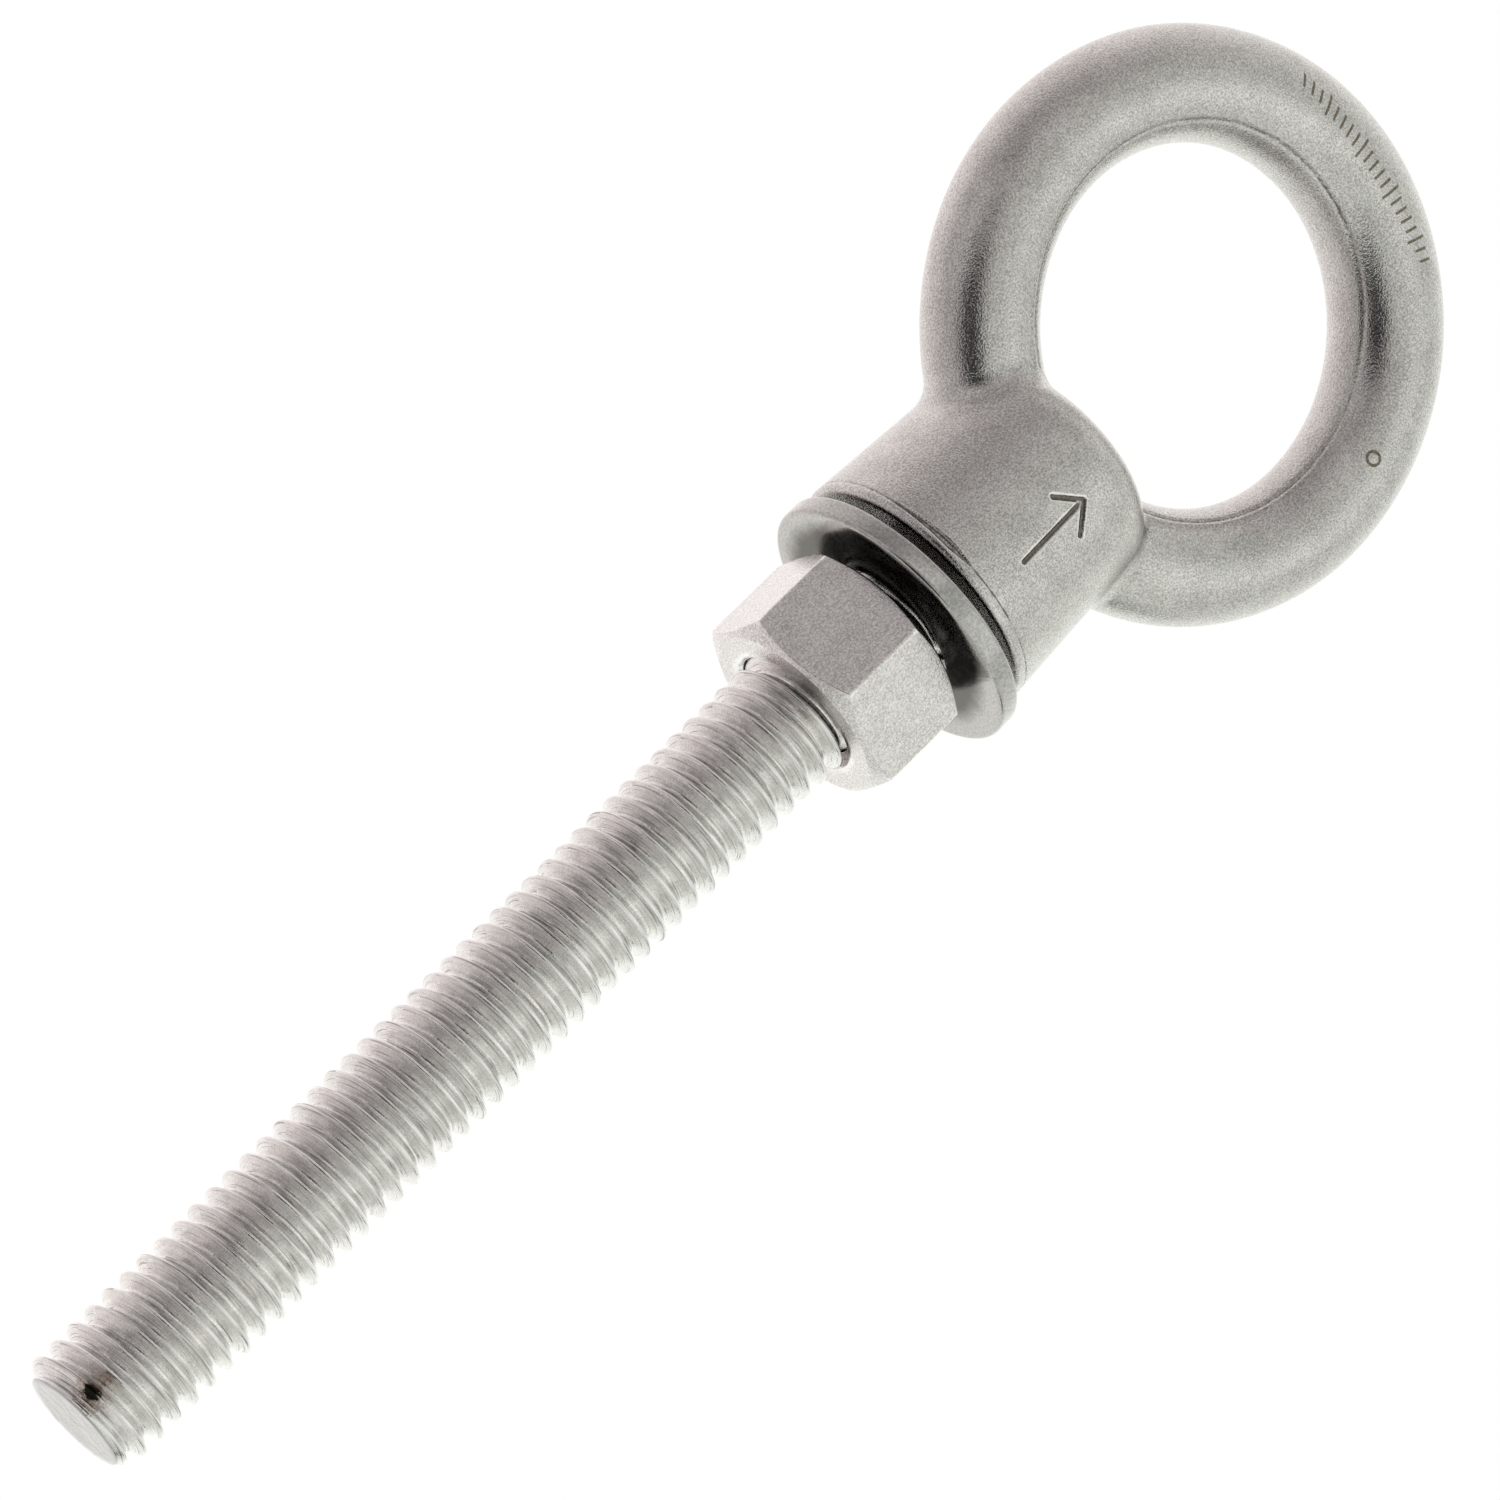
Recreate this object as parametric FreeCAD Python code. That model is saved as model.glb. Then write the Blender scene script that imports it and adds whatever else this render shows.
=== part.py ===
import FreeCAD, Part
import math
import os

# 3/8-16 UNC lifting eye bolt in millimetres.
# Origin: centre of the shoulder seat under the boss, where the shank leaves it.
# +Z runs up the shank axis to the eye, the ring lies in the XZ plane, and the front is -Y.

# --- screw thread, 3/8-16 UNC, right hand ---
PITCH = 25.4 / 16
MAJOR_RADIUS = 4.70
THREAD_DEPTH = 0.95
CREST_WIDTH = PITCH / 8
ROOT_WIDTH = 0.30
CREST_HEIGHT_AT_X = 0.515       # height of one crest centre on the +X side
STEPS_PER_TURN = 8
STEP_ANGLE = 2 * math.pi / STEPS_PER_TURN
STEP_RISE = PITCH / STEPS_PER_TURN

# --- eye bolt: one casting with a rolled thread ---
SHANK_LENGTH = 80.8
END_FLAT_RADIUS = 3.75
EYE_BORE = 25.4
EYE_SECTION = 8.33
EYE_CENTRE_HEIGHT = 29.0
BOSS_SEAT_RADIUS = 9.75
BOSS_DRAFT = math.radians(3.5)
BOSS_HEIGHT = 16.0
BOSS_TOP_ROUNDING = 3.0
SEAT_EDGE_ROUNDING = 0.35
SEAT_LIP_HEIGHT = 0.85
SEAT_LIP_GROOVE = 0.14
BLEND_RADIUS = 1.1
SCREW_IN_LENGTH = 66.0          # full crests offered to a tapped hole or a nut
SHANK_OVERLAP = 1.0             # how far the shank's solid runs into the boss

# --- flat washer, 3/8 SAE ---
WASHER_OUTER_RADIUS = 20.64 / 2
WASHER_BORE_RADIUS = 10.32 / 2
WASHER_THICKNESS = 1.65
WASHER_EDGE_ROUNDING = 0.35
WASHER_TOP_GAP = 0.95
WASHER_DROP = 0.36              # it hangs off centre by part of its clearance

# --- hex nut, 3/8-16 ---
NUT_ACROSS_FLATS = 9 / 16 * 25.4
NUT_HEIGHT = 21 / 64 * 25.4
NUT_TOP_GAP = 1.05
NUT_CORNER_ANGLE = 20.0
NUT_CHAMFER_ANGLE = math.radians(30)
NUT_FACE_RADIUS = 6.80
NUT_BORE_RADIUS = 4.05
NUT_COUNTERSINK_RADIUS = 5.05
THREAD_CLEARANCE = 0.10

# --- load-direction arrow sunk in the front of the boss ---
MARK_DEPTH = 0.18
MARK_CENTRE_HEIGHT = 7.4
MARK_LENGTH = 6.4
MARK_BARB_LENGTH = 2.4
MARK_STROKE_WIDTH = 0.44

EYE_RADIUS = (EYE_BORE + EYE_SECTION) / 2
WASHER_UNDERSIDE = -WASHER_TOP_GAP - WASHER_THICKNESS
NUT_TOP = WASHER_UNDERSIDE - NUT_TOP_GAP
NUT_BOTTOM = NUT_TOP - NUT_HEIGHT
SCREW_IN_TOP = -SHANK_LENGTH + SCREW_IN_LENGTH
EPS = 0.01
SEWING_TOLERANCE = 1e-4
CUTTER_MARGIN = 1.0             # how far a trimming profile stands outside its blank

Z_AXIS = FreeCAD.Vector(0, 0, 1)


def point(x, y, z):
    """Return a point or vector in the part's frame."""
    return FreeCAD.Vector(x, y, z)


def turned(outline):
    """Return the solid made by turning a closed (radius, height) outline about Z."""
    wire = Part.makePolygon([point(r, 0, z) for r, z in outline + outline[:1]])
    return Part.Face(wire).revolve(point(0, 0, 0), Z_AXIS, 360)


class ThreadForm:
    """One pitch of a screw thread as corners (height from the crest centre, radius)."""

    def __init__(self, crest_radius, root_radius, crest_width, root_width):
        """Keep the four corners of one pitch and the first corner of the next."""
        self.corners = [
            (-crest_width / 2, crest_radius),
            (crest_width / 2, crest_radius),
            ((PITCH - root_width) / 2, root_radius),
            ((PITCH + root_width) / 2, root_radius),
            (PITCH - crest_width / 2, crest_radius),
        ]


def edges_on_cylinder(radius, corners):
    """Return the edges that join (angle, height) corners in order on a cylinder about Z."""
    cylinder = Part.Cylinder()
    cylinder.Radius = radius
    places = [FreeCAD.Base.Vector2d(angle, height) for angle, height in corners]
    spans = zip(places, places[1:])
    return [Part.Geom2d.Line2dSegment(start, end).toShape(cylinder) for start, end in spans]


def helix_edge(radius, step, height):
    """Return one step of a helix that starts at this height above the step's own rise."""
    left = (step % STEPS_PER_TURN) * STEP_ANGLE
    base = height + step * STEP_RISE
    return edges_on_cylinder(radius, [(left, base), (left + STEP_ANGLE, base + STEP_RISE)])[0]


def crest_patch(radius, step, low, high):
    """Return one step of a crest as a true cylindrical face between two helices."""
    left = (step % STEPS_PER_TURN) * STEP_ANGLE
    right = left + STEP_ANGLE
    base = step * STEP_RISE
    next_base = base + STEP_RISE
    corners = [
        (left, low + base),
        (right, low + next_base),
        (right, high + next_base),
        (left, high + base),
        (left, low + base),
    ]
    return Part.Face(Part.Wire(edges_on_cylinder(radius, corners)))


def helicoid_cap(radius, first_step, height):
    """Return one turn of flat spiral faces that join the axis to a helix."""
    faces = []
    for step in range(first_step, first_step + STEPS_PER_TURN):
        low = point(0, 0, height + step * STEP_RISE)
        high = point(0, 0, height + (step + 1) * STEP_RISE)
        axis_edge = Part.makeLine(low, high)
        faces.append(Part.makeRuledSurface(axis_edge, helix_edge(radius, step, height)))
    return faces


def section_face(form, step, height):
    """Return the flat half section of one pitch that closes the thread at this step."""
    angle = math.degrees(STEP_ANGLE * step)
    base = height + step * STEP_RISE
    outline = [point(r, 0, base + z) for z, r in form.corners]
    bottom = point(0, 0, base + form.corners[0][0])
    top = point(0, 0, base + form.corners[-1][0])
    face = Part.Face(Part.makePolygon([bottom] + outline + [top, bottom]))
    return face.rotate(point(0, 0, 0), Z_AXIS, angle)


def threaded_rod(form, bottom, top, true_crests_below):
    """Return a threaded rod that covers bottom to top, with its crests on the common helix.

    Crests that start below true_crests_below are exact cylinder faces, and the rest are ruled.
    """
    whole_turns = math.floor((bottom - CREST_HEIGHT_AT_X) / PITCH - 1)
    first_crest = CREST_HEIGHT_AT_X + whole_turns * PITCH
    turns = math.ceil((top - first_crest) / PITCH) + 1
    steps = turns * STEPS_PER_TURN
    faces = []
    for step in range(steps):
        for lower, upper in zip(form.corners[:-1], form.corners[1:]):
            low = first_crest + lower[0]
            high = first_crest + upper[0]
            is_crest = lower is form.corners[0]
            if is_crest and low + step * STEP_RISE < true_crests_below:
                faces.append(crest_patch(lower[1], step, low, high))
            else:
                low_edge = helix_edge(lower[1], step, low)
                faces.append(Part.makeRuledSurface(low_edge, helix_edge(upper[1], step, high)))
    crest_radius = form.corners[0][1]
    faces += helicoid_cap(crest_radius, 0, first_crest + form.corners[0][0])
    faces += helicoid_cap(crest_radius, steps - STEPS_PER_TURN, first_crest + form.corners[-1][0])
    faces.append(section_face(form, 0, first_crest))
    faces.append(section_face(form, steps, first_crest))
    skin = Part.makeCompound(faces)
    skin.sewShape(SEWING_TOLERANCE)
    solid = Part.Solid(skin.Shells[0] if skin.ShapeType == "Compound" else skin)
    if solid.Volume < 0:
        solid.reverse()
    return solid


def shank():
    """Return the threaded shank with its chamfered end, running a little into the boss."""
    form = ThreadForm(MAJOR_RADIUS, MAJOR_RADIUS - THREAD_DEPTH, CREST_WIDTH, ROOT_WIDTH)
    rod = threaded_rod(form, -SHANK_LENGTH, SHANK_OVERLAP, SCREW_IN_TOP)
    clear_radius = MAJOR_RADIUS + CUTTER_MARGIN
    chamfer_height = clear_radius - END_FLAT_RADIUS
    blank = turned([
        (0, -SHANK_LENGTH),
        (END_FLAT_RADIUS, -SHANK_LENGTH),
        (clear_radius, -SHANK_LENGTH + chamfer_height),
        (clear_radius, SHANK_OVERLAP),
        (0, SHANK_OVERLAP),
    ])
    return rod.common(blank)


def boss():
    """Return the drafted boss: rounded seat edge, grooved lip and rounded top."""
    slope = math.tan(BOSS_DRAFT)
    top_radius = BOSS_SEAT_RADIUS - slope * BOSS_HEIGHT
    body = turned([(0, 0), (BOSS_SEAT_RADIUS, 0), (top_radius, BOSS_HEIGHT), (0, BOSS_HEIGHT)])
    rims = [edge for edge in body.Edges if is_full_circle(edge)]
    top_rim = [edge for edge in rims if edge.BoundBox.ZMin > BOSS_HEIGHT - EPS]
    seat_rim = [edge for edge in rims if edge.BoundBox.ZMax < EPS]
    body = body.makeFillet(BOSS_TOP_ROUNDING, top_rim)
    body = body.makeFillet(SEAT_EDGE_ROUNDING, [matching_circle(body, seat_rim[0])])
    groove_radius = BOSS_SEAT_RADIUS - slope * SEAT_LIP_HEIGHT
    groove = turned([
        (groove_radius - SEAT_LIP_GROOVE, SEAT_LIP_HEIGHT),
        (groove_radius + SEAT_LIP_GROOVE, SEAT_LIP_HEIGHT - 2 * SEAT_LIP_GROOVE),
        (groove_radius + SEAT_LIP_GROOVE, SEAT_LIP_HEIGHT + 2 * SEAT_LIP_GROOVE),
    ])
    return body.cut(groove)


def is_full_circle(edge):
    """Tell whether an edge is a whole circle."""
    return isinstance(edge.Curve, Part.Circle) and edge.isClosed()


def matching_circle(body, wanted):
    """Return the body's circular edge that has the wanted circle's radius and height."""
    for edge in body.Edges:
        if is_full_circle(edge) and abs(edge.Curve.Radius - wanted.Curve.Radius) < EPS:
            if abs(edge.Curve.Center.z - wanted.Curve.Center.z) < EPS:
                return edge
    raise ValueError("no such circle")


def ring():
    """Return the round-section ring of the eye."""
    return Part.makeTorus(EYE_RADIUS, EYE_SECTION / 2, point(0, 0, EYE_CENTRE_HEIGHT), point(0, 1, 0))


def load_arrow():
    """Return the tool that sinks a plain arrow, pointing to the eye, into the boss's front."""
    low = MARK_CENTRE_HEIGHT - MARK_LENGTH / 2
    tip = MARK_CENTRE_HEIGHT + MARK_LENGTH / 2
    half_width = MARK_STROKE_WIDTH / 2
    barb_reach = MARK_BARB_LENGTH / math.sqrt(2)
    corner_shift = half_width / math.sqrt(2)
    corner_rise = half_width * math.sqrt(2)
    half_outline = [
        (half_width, low),
        (half_width, tip - corner_rise - half_width),
        (barb_reach - corner_shift, tip - barb_reach - corner_shift),
        (barb_reach + corner_shift, tip - barb_reach + corner_shift),
    ]
    mirrored = [(-x, z) for x, z in reversed(half_outline)]
    outline = half_outline + [(0, tip + corner_rise)] + mirrored
    corners = [point(x, 0, z) for x, z in outline + outline[:1]]
    prism = Part.Face(Part.makePolygon(corners)).extrude(point(0, -2 * BOSS_SEAT_RADIUS, 0))
    slope = math.tan(BOSS_DRAFT)
    floor = Part.makeCone(
        BOSS_SEAT_RADIUS - MARK_DEPTH,
        BOSS_SEAT_RADIUS - MARK_DEPTH - slope * BOSS_HEIGHT,
        BOSS_HEIGHT,
    )
    return prism.cut(floor)


def head():
    """Return the boss and ring as one casting with a filleted joint and the arrow."""
    joined = boss().fuse(ring())
    seam = [edge for edge in joined.Edges if is_ring_joint(edge)]
    joined = joined.makeFillet(BLEND_RADIUS, seam)
    return joined.cut(load_arrow())


def is_ring_joint(edge):
    """Tell whether an edge is where the ring's surface enters the boss."""
    return not isinstance(edge.Curve, (Part.Circle, Part.Line))


def eye_bolt():
    """Return the whole eye bolt as a single piece of metal."""
    return head().fuse(shank())


def washer():
    """Return the flat washer with rounded rims, hanging on the shank below the seat."""
    bottom = point(WASHER_DROP, 0, WASHER_UNDERSIDE)
    disc = Part.makeCylinder(WASHER_OUTER_RADIUS, WASHER_THICKNESS, bottom)
    disc = disc.cut(Part.makeCylinder(WASHER_BORE_RADIUS, WASHER_THICKNESS, bottom))
    rims = [edge for edge in disc.Edges if is_full_circle(edge)]
    outer_rims = [edge for edge in rims if edge.Curve.Radius > WASHER_OUTER_RADIUS - EPS]
    return disc.makeFillet(WASHER_EDGE_ROUNDING, outer_rims)


def hex_blank():
    """Return the solid hexagon of the nut with its chamfered corners."""
    corner_radius = NUT_ACROSS_FLATS / math.sqrt(3)
    corners = []
    for side in range(7):
        angle = math.radians(NUT_CORNER_ANGLE + 60 * side)
        corners.append(point(corner_radius * math.cos(angle), corner_radius * math.sin(angle), NUT_BOTTOM))
    prism = Part.Face(Part.makePolygon(corners)).extrude(point(0, 0, NUT_HEIGHT))
    reach = corner_radius + CUTTER_MARGIN
    bevel = (reach - NUT_FACE_RADIUS) * math.tan(NUT_CHAMFER_ANGLE)
    envelope = turned([
        (0, NUT_BOTTOM),
        (NUT_FACE_RADIUS, NUT_BOTTOM),
        (reach, NUT_BOTTOM + bevel),
        (reach, NUT_TOP - bevel),
        (NUT_FACE_RADIUS, NUT_TOP),
        (0, NUT_TOP),
    ])
    return prism.common(envelope)


def countersink(mouth, depth_direction):
    """Return the 45 degree cone that opens the nut's bore at the height of one mouth."""
    outside = mouth - depth_direction * EPS
    tip = mouth + depth_direction * NUT_COUNTERSINK_RADIUS
    return turned([(0, outside), (NUT_COUNTERSINK_RADIUS, outside), (0, tip)])


def hex_nut():
    """Return the double-chamfered hex nut with its own thread, a clearance off the shank's."""
    flank_slope = ((PITCH - ROOT_WIDTH) / 2 - CREST_WIDTH / 2) / THREAD_DEPTH
    groove_width = CREST_WIDTH + 2 * THREAD_CLEARANCE
    groove_radius = MAJOR_RADIUS + THREAD_CLEARANCE
    land_width = PITCH - groove_width - 2 * flank_slope * (groove_radius - NUT_BORE_RADIUS)
    form = ThreadForm(groove_radius, NUT_BORE_RADIUS, groove_width, land_width)
    tap = threaded_rod(form, NUT_BOTTOM, NUT_TOP, NUT_TOP + PITCH)
    return hex_blank().cut(tap).cut(countersink(NUT_BOTTOM, 1)).cut(countersink(NUT_TOP, -1))


def main():
    """Write every node to parts/."""
    os.makedirs("parts", exist_ok=True)
    nodes = {"eye_bolt": eye_bolt, "washer": washer, "hex_nut": hex_nut}
    for name, make in nodes.items():
        shape = make()
        shape.exportStep(f"parts/{name}.step")


main()
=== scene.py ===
"""Visual model of a stainless lifting eye bolt with its washer and hex nut."""

import logging
import math
from dataclasses import dataclass, field
from enum import Enum
from typing import Callable, Dict, List, Mapping, Optional, Sequence, Tuple, Union

import bmesh
import bpy
import numpy as np
from mathutils import Matrix, Vector


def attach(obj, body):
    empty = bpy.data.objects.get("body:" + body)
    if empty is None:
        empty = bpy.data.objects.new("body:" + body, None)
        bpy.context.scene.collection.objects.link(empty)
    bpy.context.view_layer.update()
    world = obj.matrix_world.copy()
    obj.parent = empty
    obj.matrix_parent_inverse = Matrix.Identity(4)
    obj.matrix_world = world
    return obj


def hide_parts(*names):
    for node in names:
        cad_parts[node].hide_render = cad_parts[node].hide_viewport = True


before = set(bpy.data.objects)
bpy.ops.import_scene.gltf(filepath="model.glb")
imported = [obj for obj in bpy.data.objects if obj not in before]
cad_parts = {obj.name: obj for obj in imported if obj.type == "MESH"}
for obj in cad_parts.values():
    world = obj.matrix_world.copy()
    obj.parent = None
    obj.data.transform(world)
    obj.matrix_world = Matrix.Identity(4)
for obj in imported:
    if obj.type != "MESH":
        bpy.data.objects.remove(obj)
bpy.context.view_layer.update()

LOG = logging.getLogger("eye_bolt")
MM = 0.001  # metres in a millimetre: the shapes are worked out in millimetres
PITCH = 25.4 / 16  # sixteen threads to the inch
CREST_HEIGHT_AT_X = 0.515  # height of a thread crest on the +X side of the shank
WELD_DISTANCE = 1e-4

Field = Callable[[np.ndarray], np.ndarray]
Socket = bpy.types.NodeSocket
Value = Union[Socket, float, Sequence[float]]
Node = bpy.types.Node
Triple = Tuple[float, float, float]
Shape = Tuple[np.ndarray, np.ndarray]


class Body(Enum):
    """The moving bodies that the pieces ride on."""

    EYE_BOLT = "eye_bolt"
    WASHER = "washer"
    NUT = "nut"


class Slot(Enum):
    """The material slots of the record."""

    CAST = "cast_stainless"
    WASHER = "washer_stainless"
    NUT = "nut_stainless"


# ---------------------------------------------------------------------------
# shape helpers, all in millimetres
# ---------------------------------------------------------------------------


def smooth_min(a: np.ndarray, b: Union[np.ndarray, float], width: float) -> np.ndarray:
    """Return the smaller of two values, eased over a width where they are close.

    Args:
        a: First values.
        b: Second values.
        width: Difference below which the two are eased together.

    Returns:
        The eased minimum, never above the true one.
    """
    closeness = np.clip(width - np.abs(a - b), 0, None) / width
    return np.minimum(a, b) - closeness * closeness * width / 4


def smooth_max(a: np.ndarray, b: Union[np.ndarray, float], width: float) -> np.ndarray:
    """Return the larger of two values, eased like smooth_min."""
    return -smooth_min(-a, -b, width)


def round_union(a: np.ndarray, b: np.ndarray, radius: float) -> np.ndarray:
    """Return the distance to two solids joined with a fillet.

    Args:
        a: Distances to the first solid.
        b: Distances to the second solid.
        radius: Radius of the fillet.

    Returns:
        Distances to the joined solid.
    """
    reach = np.hypot(np.clip(radius - a, 0, None), np.clip(radius - b, 0, None))
    return np.maximum(radius, np.minimum(a, b)) - reach


def round_cross(a: np.ndarray, b: np.ndarray, radius: float) -> np.ndarray:
    """Return the distance to what two solids share, with its edge rounded off."""
    return -round_union(-a, -b, radius)


def graded_axis(spans: Sequence[Tuple[float, float, float]]) -> np.ndarray:
    """Return grid planes along one axis.

    Args:
        spans: For each stretch its start, its end and the wanted spacing.

    Returns:
        Ascending positions, with the shared ends given once.
    """
    parts = []
    for start, end, spacing in spans:
        count = max(1, int(round((end - start) / spacing)))
        parts.append(np.linspace(start, end, count + 1)[:-1])
    parts.append(np.array([spans[-1][1]]))
    return np.concatenate(parts)


@dataclass
class SurfaceNet:
    """Meshes the zero surface of a distance field on a graded grid.

    Attributes:
        distance: Signed distance in millimetres for an array of points.
        axes: Grid planes along X, Y and Z.
        relaxing: How many times the mesh is evened out along the surface.
    """

    distance: Field
    axes: Tuple[np.ndarray, np.ndarray, np.ndarray]
    relaxing: int = 6

    def build(self) -> Shape:
        """Mesh the surface.

        Returns:
            Its points and its four-sided faces.
        """
        inside = self._inside()
        cells = self._mixed_cells(inside)
        index = np.full(cells.shape, -1, np.int64)
        where = np.nonzero(cells)
        index[where] = np.arange(len(where[0]))
        centres = [(axis[1:] + axis[:-1]) / 2 for axis in self.axes]
        points = np.stack([centre[spot] for centre, spot in zip(centres, where)], 1)
        faces = np.concatenate([self._faces(inside, index, axis) for axis in range(3)])
        points = self._project(points, 6)
        for _ in range(self.relaxing):
            points = self._project(self._even(points, faces), 2)
        return points, faces

    def _inside(self) -> np.ndarray:
        """Test the grid corners against the field, one plane at a time.

        Returns:
            Which corners lie inside the solid.
        """
        xs, ys, zs = self.axes
        inside = np.zeros((len(xs), len(ys), len(zs)), bool)
        across, up = np.meshgrid(ys, zs, indexing="ij")
        for row, x in enumerate(xs):
            corners = np.stack([np.full(across.size, x), across.ravel(), up.ravel()], 1)
            inside[row] = (self.distance(corners) < 0).reshape(across.shape)
        return inside

    @staticmethod
    def _mixed_cells(inside: np.ndarray) -> np.ndarray:
        """Find the cells that the surface passes through.

        Args:
            inside: Which grid corners lie inside the solid.

        Returns:
            One flag for each cell.
        """
        count = np.zeros(tuple(size - 1 for size in inside.shape), np.int8)
        for corner in np.ndindex(2, 2, 2):
            part = tuple(slice(c, size - 1 + c) for c, size in zip(corner, inside.shape))
            count += inside[part]
        return (count > 0) & (count < 8)

    @staticmethod
    def _faces(inside: np.ndarray, index: np.ndarray, axis: int) -> np.ndarray:
        """Make one face for each grid edge along an axis that the surface crosses.

        Args:
            inside: Which grid corners lie inside the solid.
            index: Number of the point in each cell.
            axis: The axis that the edges run along.

        Returns:
            Four points for each face, turned so that it looks outwards.
        """
        solid = np.moveaxis(inside, axis, 0)
        cells = np.moveaxis(index, axis, 0)
        crossing = solid[1:, 1:-1, 1:-1] != solid[:-1, 1:-1, 1:-1]
        i, j, k = np.nonzero(crossing)
        j, k = j + 1, k + 1
        ring = [cells[i, j - 1, k - 1], cells[i, j, k - 1], cells[i, j, k], cells[i, j - 1, k]]
        quads = np.stack(ring, 1)
        turned = solid[i, j, k] == (axis == 1)
        quads[turned] = quads[turned][:, ::-1]
        return quads

    def _gradient(self, points: np.ndarray, step: float = 0.01) -> np.ndarray:
        """Measure the field's slope.

        Args:
            points: Where it is measured.
            step: How far to each side it looks, in millimetres.

        Returns:
            One slope for each point.
        """
        slopes = []
        for axis in range(3):
            shift = np.zeros(3)
            shift[axis] = step
            slopes.append((self.distance(points + shift) - self.distance(points - shift)) / (2 * step))
        return np.stack(slopes, 1)

    def _project(self, points: np.ndarray, rounds: int) -> np.ndarray:
        """Move points along the field's slope onto the surface.

        Args:
            points: The points.
            rounds: How many steps are taken.

        Returns:
            The moved points.
        """
        for _ in range(rounds):
            slope = self._gradient(points)
            length = np.maximum((slope * slope).sum(1), 0.05)
            points = points - slope * (self.distance(points) / length)[:, None]
        return points

    @staticmethod
    def _even(points: np.ndarray, faces: np.ndarray) -> np.ndarray:
        """Move each point half way to the mean of its neighbours.

        Args:
            points: The points.
            faces: The faces that join them.

        Returns:
            The moved points.
        """
        total = np.zeros_like(points)
        count = np.zeros(len(points))
        for here, there in zip(faces.T, np.roll(faces, -1, 1).T):
            for axis in range(3):
                total[:, axis] += np.bincount(here, points[there, axis], len(points))
                total[:, axis] += np.bincount(there, points[here, axis], len(points))
            count += np.bincount(here, minlength=len(points))
            count += np.bincount(there, minlength=len(points))
        return (points + total / np.maximum(count, 1)[:, None]) / 2


@dataclass
class Sheets:
    """Collects grids of points into one mesh.

    Attributes:
        points: The points of each sheet.
        faces: The faces of each sheet.
    """

    points: List[np.ndarray] = field(default_factory=list)
    faces: List[np.ndarray] = field(default_factory=list)

    def add(self, grid: np.ndarray) -> None:
        """Add a sheet of four-sided faces.

        Args:
            grid: Points by column, row and coordinate. The faces look to the side
                from which columns run to the right and rows run upwards.
        """
        start = sum(len(part) for part in self.points)
        columns, rows = grid.shape[:2]
        index = start + np.arange(columns * rows).reshape(columns, rows)
        quads = [index[:-1, :-1], index[1:, :-1], index[1:, 1:], index[:-1, 1:]]
        self.points.append(grid.reshape(-1, 3))
        self.faces.append(np.stack(quads, -1).reshape(-1, 4))

    def joined(self) -> Shape:
        """Return all points and faces, not yet welded."""
        return np.concatenate(self.points), np.concatenate(self.faces)


def ring_points(angles: np.ndarray, radii: np.ndarray, heights: np.ndarray) -> np.ndarray:
    """Return points about Z from angles and per-column radii and heights.

    Args:
        angles: One angle for each column, in radians.
        radii: Radii by column and row.
        heights: Heights by column and row.

    Returns:
        Points by column, row and coordinate.
    """
    cosine, sine = np.cos(angles)[:, None], np.sin(angles)[:, None]
    return np.stack([radii * cosine, radii * sine, heights], -1)


def rounded_profile(corners: np.ndarray, radii: Sequence[float], steps: int) -> np.ndarray:
    """Round the inner corners of many open outlines at once.

    Args:
        corners: Points by outline, corner and coordinate (radius, height).
        radii: Rounding for each corner; the first and last are left sharp.
        steps: Points along each rounded corner.

    Returns:
        Points by outline, row and coordinate.
    """
    rows = [corners[:, 0]]
    for number in range(1, corners.shape[1] - 1):
        here = corners[:, number]
        back = corners[:, number - 1] - here
        ahead = corners[:, number + 1] - here
        back /= np.linalg.norm(back, axis=1, keepdims=True)
        ahead /= np.linalg.norm(ahead, axis=1, keepdims=True)
        half = np.arccos(np.clip((back * ahead).sum(1), -1, 1)) / 2
        tangent = (radii[number] / np.tan(half))[:, None]
        for share in np.linspace(0, 1, steps):
            start, end = here + back * tangent, here + ahead * tangent
            first = start + (here - start) * share
            second = here + (end - here) * share
            rows.append(first + (second - first) * share)
    rows.append(corners[:, -1])
    return np.stack(rows, 1)


def subdivided(profile: np.ndarray, longest: float) -> np.ndarray:
    """Split the long spans of many outlines.

    Args:
        profile: Points by outline, row and coordinate.
        longest: Longest span that is left whole.

    Returns:
        The same outlines with more rows.
    """
    rows = [profile[:, 0]]
    for low, high in zip(range(profile.shape[1] - 1), range(1, profile.shape[1])):
        span = np.linalg.norm(profile[:, high] - profile[:, low], axis=1).max()
        count = max(1, int(math.ceil(span / longest)))
        for share in np.linspace(0, 1, count + 1)[1:]:
            rows.append(profile[:, low] + (profile[:, high] - profile[:, low]) * share)
    return np.stack(rows, 1)


def make_piece(name: str, shape: Shape) -> bpy.types.Object:
    """Make a smooth, welded mesh object and store its edge and hollow masks.

    Args:
        name: Name of the piece.
        shape: Its points in millimetres, and four corners for each face.

    Returns:
        The new object, at the frame's origin.
    """
    points, faces = shape
    mesh = bpy.data.meshes.new(name)
    mesh.from_pydata((points * MM).tolist(), [], faces.tolist())
    work = bmesh.new()
    work.from_mesh(mesh)
    bmesh.ops.remove_doubles(work, verts=work.verts, dist=WELD_DISTANCE * MM)
    work.to_mesh(mesh)
    work.free()
    mesh.validate()
    mesh.shade_smooth()
    store_relief(mesh)
    piece = bpy.data.objects.new(name, mesh)
    bpy.context.scene.collection.objects.link(piece)
    return piece


def read_triples(items: bpy.types.bpy_prop_collection, name: str) -> np.ndarray:
    """Read one vector property of all a mesh's points.

    Args:
        items: The points.
        name: Name of the property.

    Returns:
        A row for each point.
    """
    values = np.empty(len(items) * 3)
    items.foreach_get(name, values)
    return values.reshape(-1, 3)


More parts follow.
